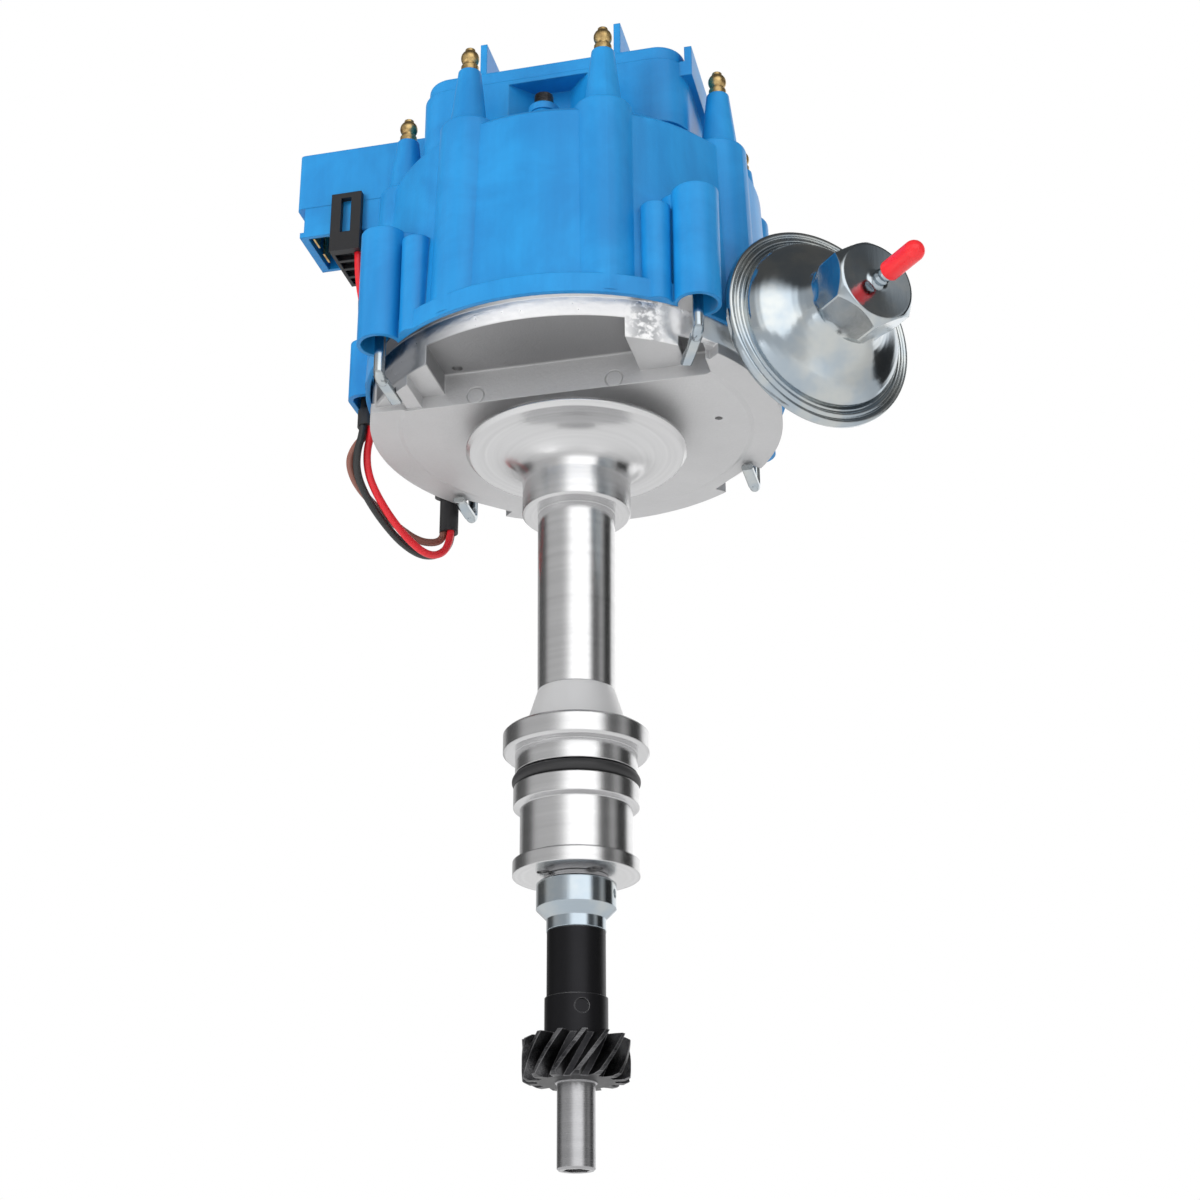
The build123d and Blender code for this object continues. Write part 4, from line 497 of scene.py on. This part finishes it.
harness = {"radius": 0.0015, "around": 6, "along": 12, "order": 3}
routes = {
    "redWire": ("red_wire", "redInsulation", 0.171, [
        (-0.0860, -0.0115, 0.2159), (-0.0858, -0.0112, 0.2040), (-0.0840, -0.0080, 0.1900),
        (-0.0809, -0.0030, 0.1770), (-0.0812, -0.0003, 0.1630), (-0.08138, 0.0000, 0.1500),
        (-0.08138, 0.0000, 0.1385), (-0.0840, 0.0028, 0.1318), (-0.0846, 0.0070, 0.1248),
        (-0.0829, 0.0134, 0.1184), (-0.0796, 0.0211, 0.1118), (-0.0752, 0.0298, 0.1059),
        (-0.0700, 0.0380, 0.1022), (-0.0653, 0.0442, 0.1052), (-0.0638, 0.04776, 0.1136),
        (-0.06388, 0.04776, 0.12255), (-0.0638, 0.04776, 0.1314)]),
    "blackWire": ("black_wire", "blackInsulation", 0.1746, [
        (-0.0860, -0.0040, 0.2159), (-0.0861, -0.0045, 0.2040), (-0.0862, -0.0041, 0.1900),
        (-0.0850, -0.0028, 0.1770), (-0.0841, -0.0018, 0.1630), (-0.08411, -0.00158, 0.1500),
        (-0.08411, -0.00158, 0.1380), (-0.0866, -0.0008, 0.1308), (-0.0882, 0.0042, 0.1240),
        (-0.0869, 0.0124, 0.1176), (-0.0834, 0.0228, 0.1112), (-0.0790, 0.0340, 0.1062),
        (-0.0738, 0.0444, 0.1049), (-0.0686, 0.0513, 0.1086), (-0.06462, 0.05081, 0.1132),
        (-0.06469, 0.05081, 0.12235), (-0.06462, 0.05081, 0.1314)]),
    "brownWire": ("brown_wire", "brownInsulation", 0.1645, [
        (-0.0860, 0.0035, 0.2159), (-0.0862, 0.0036, 0.2040), (-0.0860, 0.0028, 0.1900),
        (-0.0848, 0.0015, 0.1770), (-0.0843, 0.0017, 0.1630), (-0.08411, 0.00158, 0.1500),
        (-0.08411, 0.00158, 0.1386), (-0.0884, 0.0015, 0.1342), (-0.0913, 0.0030, 0.1284),
        (-0.0904, 0.0095, 0.1222), (-0.0863, 0.0194, 0.1174), (-0.0804, 0.0304, 0.1126),
        (-0.0746, 0.0402, 0.1099), (-0.0694, 0.0466, 0.1114), (-0.06685, 0.04858, 0.1148),
        (-0.06692, 0.04858, 0.12315), (-0.06685, 0.04858, 0.1314)]),
}
for name, (node, finish, length, points) in routes.items():
    curve = bpy.data.curves.new(name, "CURVE")
    curve.dimensions = "3D"
    curve.bevel_depth = harness["radius"]
    curve.bevel_resolution = harness["around"]
    curve.resolution_u = harness["along"]
    curve.use_fill_caps = True
    line = curve.splines.new("NURBS")
    line.points.add(len(points) - 1)
    line.points.foreach_set("co", np.hstack([np.array(points), np.ones((len(points), 1))]).ravel())
    line.order_u = harness["order"]
    line.use_endpoint_u = True
    curve.materials.append(finishes[finish])
    piece = bpy.data.objects.new(name, curve)
    bpy.context.scene.collection.objects.link(piece)
    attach(piece, "distributor_body")
    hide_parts(node)
print("wires drawn")


# Pressed front shell of the vacuum unit
# The centre is in metres. Each profile is a list of distance along the axis and radius, in millimetres.

canister = {
    "centre": (0.0955, -0.0295, 0.1418), "turn": -47.8, "flats": 29.5, "segments": 216,
    "blend": 0.35, "domeRings": (3.6, 16.0, 34), "noseRings": (16.3, 36.0, 60),
    "lip": 36.15, "lipShare": 0.94,
    "rim": [(-1.6, 36.9), (-1.7, 37.5), (-1.2, 37.9), (0.0, 38.0), (1.2, 37.95), (1.9, 37.6),
            (2.2, 37.0), (2.15, 36.4), (1.7, 36.0), (1.2, 35.7), (1.3, 35.3), (1.9, 35.0),
            (2.3, 34.5), (2.35, 34.0), (2.0, 33.5), (1.5, 33.2), (1.5, 32.6), (2.2, 32.2),
            (3.2, 32.0)],
    "flare": [(3.2, 32.0), (4.6, 31.6), (6.2, 30.6), (7.8, 29.0), (9.3, 26.9), (10.6, 24.6),
              (11.9, 22.4), (13.4, 20.2), (15.2, 18.2), (17.3, 16.6), (19.6, 15.5), (22.5, 14.7),
              (26.0, 14.2), (36.0, 13.0)],
    "chamfer": [(3.2, 12.0), (17.5, 13.2), (20.5, 15.6), (23.0, 17.0), (25.0, 17.6), (32.6, 17.6),
                (36.0, 14.4)],
    "pipe": [(36.0, 4.6), (36.3, 3.4), (36.8, 2.7), (37.4, 2.5), (38.2, 2.9), (38.9, 2.9),
             (39.3, 2.3), (40.0, 2.2), (40.6, 2.7), (41.4, 2.7), (41.9, 2.2), (42.8, 2.2),
             (51.6, 2.2), (51.9, 1.9), (51.9, 1.3)],
    "inside": [(34.0, 1.3), (34.0, 12.6), (22.0, 13.0), (16.0, 16.2), (12.0, 20.8), (8.4, 26.4),
               (5.0, 30.4), (2.4, 31.2), (0.9, 31.4), (0.9, 36.9)],
}


def canisterShell():
    # At distance t along the axis the radius is the larger of the dome's flare and of the nose, softly
    # blended, where the nose is the smaller of a hexagon and a turned chamfer. The rim, the pipe and the
    # inside are plain turned rings, and the last ring meets the first.
    p = canister
    theta = np.linspace(0.0, 2 * np.pi, p["segments"], endpoint=False)
    hexagon = p["flats"] / 2 / np.cos(np.mod(theta, np.pi / 3) - np.pi / 6)
    flare, chamfer, rim = (np.array(p[k]) for k in ("flare", "chamfer", "rim"))
    rest = np.array(p["pipe"] + p["inside"])
    t = np.concatenate([np.linspace(*p["domeRings"]), np.linspace(*p["noseRings"])])
    dome = np.interp(t, flare[:, 0], flare[:, 1])[:, None]
    nose = np.minimum(hexagon, np.interp(t, chamfer[:, 0], chamfer[:, 1])[:, None])
    gap = dome - nose
    pressed = nose + 0.5 * (gap + np.sqrt(gap * gap + p["blend"]))
    along = np.concatenate([rim[:, 0], t, [p["lip"]], rest[:, 0]])[:, None, None] * 0.001
    radius = np.vstack([np.tile(rim[:, 1:], len(theta)), pressed, p["lipShare"] * pressed[-1:],
                        np.tile(rest[:, 1:], len(theta))]) * 0.001
    turn = math.radians(p["turn"])
    axis = np.array([math.cos(turn), math.sin(turn), 0.0])
    side = np.array([math.sin(turn), -math.cos(turn), 0.0])
    up = np.array([0.0, 0.0, 1.0])
    across = (radius * np.cos(theta))[:, :, None] * up + (radius * np.sin(theta))[:, :, None] * side
    return along * axis + across + np.array(p["centre"])


def closedSurface(name, points, finish):
    # points[i, j] is a grid of places, closed both ways, and each grid cell becomes one face
    rows, columns = points.shape[:2]
    i, j = np.meshgrid(np.arange(rows), np.arange(columns), indexing="ij")
    nextI = (i + 1) % rows
    nextJ = (j + 1) % columns
    corners = [i * columns + j, i * columns + nextJ, nextI * columns + nextJ, nextI * columns + j]
    faces = np.stack(corners, -1).reshape(-1, 4)
    mesh = bpy.data.meshes.new(name)
    mesh.from_pydata(points.reshape(-1, 3).tolist(), [], faces.tolist())
    mesh.polygons.foreach_set("use_smooth", np.ones(len(mesh.polygons), bool))
    mesh.materials.append(finishes[finish])
    piece = bpy.data.objects.new(name, mesh)
    bpy.context.scene.collection.objects.link(piece)
    return piece


shell = closedSurface("frontShell", canisterShell(), "zincPlate")
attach(shell, "distributor_body")
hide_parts("vacuum_front_shell")
print("vacuum shell drawn")


# Floor, lamps and surroundings
# The mirror stops are the brightness seen in bright metal, by direction: 0.5 looks back at the camera.
# Above high and below low, given by the direction's z, the brightness goes to its own level.

room = {
    "floor": -0.34, "reach": 60.0, "floorColour": (0.86, 0.86, 0.86), "floorRough": 0.9,
    "ambient": 0.90, "facing": -75.8,
    "high": (0.56, 0.80), "highLevel": 0.10, "low": (-0.10, -0.45), "lowLevel": 0.80,
    "brightest": 2.0,
    "mirror": [(0.00, 0.60), (0.08, 0.50), (0.12, 0.10), (0.20, 0.14), (0.25, 0.60), (0.38, 0.62),
               (0.42, 0.90), (0.46, 1.80), (0.60, 1.90), (0.635, 0.16), (0.68, 0.12), (0.72, 0.55),
               (0.76, 0.03), (0.83, 0.04), (0.86, 1.30)],
}
lamps = {
    "keyLamp": {"place": (-0.9, -1.1, 0.5), "aim": (0, 0, 0.1), "size": (0.5, 1.4), "power": 11.0},
    "fillLamp": {"place": (1.2, -0.8, 0.2), "aim": (0, 0, 0.1), "size": (0.5, 1.4), "power": 4.0},
    "rimLamp": {"place": (0.2, 1.2, 0.9), "aim": (0, 0, 0.15), "size": (1.2, 0.8), "power": 5.0},
}


def floorPlane():
    s = room["reach"]
    z = room["floor"]
    mesh = bpy.data.meshes.new("floor")
    mesh.from_pydata([(-s, -s, z), (s, -s, z), (s, s, z), (-s, s, z)], [], [(0, 1, 2, 3)])
    settings = {"Base Color": room["floorColour"], "Roughness": room["floorRough"]}
    mesh.materials.append(Finish("paleFloor", **settings).material)
    floor = bpy.data.objects.new("floor", mesh)
    bpy.context.scene.collection.objects.link(floor)


def addLamp(name, place, aim, size, power):
    data = bpy.data.lights.new(name, "AREA")
    data.shape = "RECTANGLE"
    data.size, data.size_y = size
    data.energy = power
    lamp = bpy.data.objects.new(name, data)
    bpy.context.scene.collection.objects.link(lamp)
    lamp.location = place
    lamp.visible_glossy = False
    lamp.rotation_euler = (Vector(aim) - Vector(place)).to_track_quat("-Z", "Y").to_euler()


def surroundings():
    # camera rays see white, mirrors see tall soft strips, and matt surfaces get an even light
    world = bpy.data.worlds.new("surroundings")
    bpy.context.scene.world = world
    world.use_nodes = True
    g = Graph(world.node_tree)
    x, y, z = g.split(g.make("ShaderNodeTexCoord").outputs["Generated"])
    turns = g.maths("ARCTAN2", y, x) * (0.5 / math.pi)
    around = g.maths("FRACT", turns + (0.5 - room["facing"] / 360.0))
    # a ramp holds no more than 1, so it carries the levels as shares of the brightest
    stops = [(place, (level / room["brightest"],) * 3) for place, level in room["mirror"]]
    strips = g.make("ShaderNodeValToRGB", {"stops": stops}, {0: around})
    mirror = room["brightest"] * Field(g, strips.outputs[0])
    mirror = mirror + (room["highLevel"] - mirror) * g.rise(z, *room["high"])
    mirror = mirror + (room["lowLevel"] - mirror) * g.rise(z, *room["low"])
    rays = g.make("ShaderNodeLightPath").outputs
    kinds = ("Is Camera Ray", "Is Glossy Ray", "Is Transmission Ray")
    camera, glossy, clear = (Field(g, rays[kind]) for kind in kinds)
    strength = room["ambient"] + (mirror - room["ambient"]) * glossy
    strength = strength + (1.0 - strength) * g.larger(camera, clear)
    light = g.make("ShaderNodeBackground", {}, {"Color": (1, 1, 1), "Strength": strength})
    g.make("ShaderNodeOutputWorld", {}, {0: light.outputs[0]})


floorPlane()
for name, values in lamps.items():
    addLamp(name, **values)
surroundings()
bpy.context.scene.view_settings.view_transform = "Standard"
print("room lit")
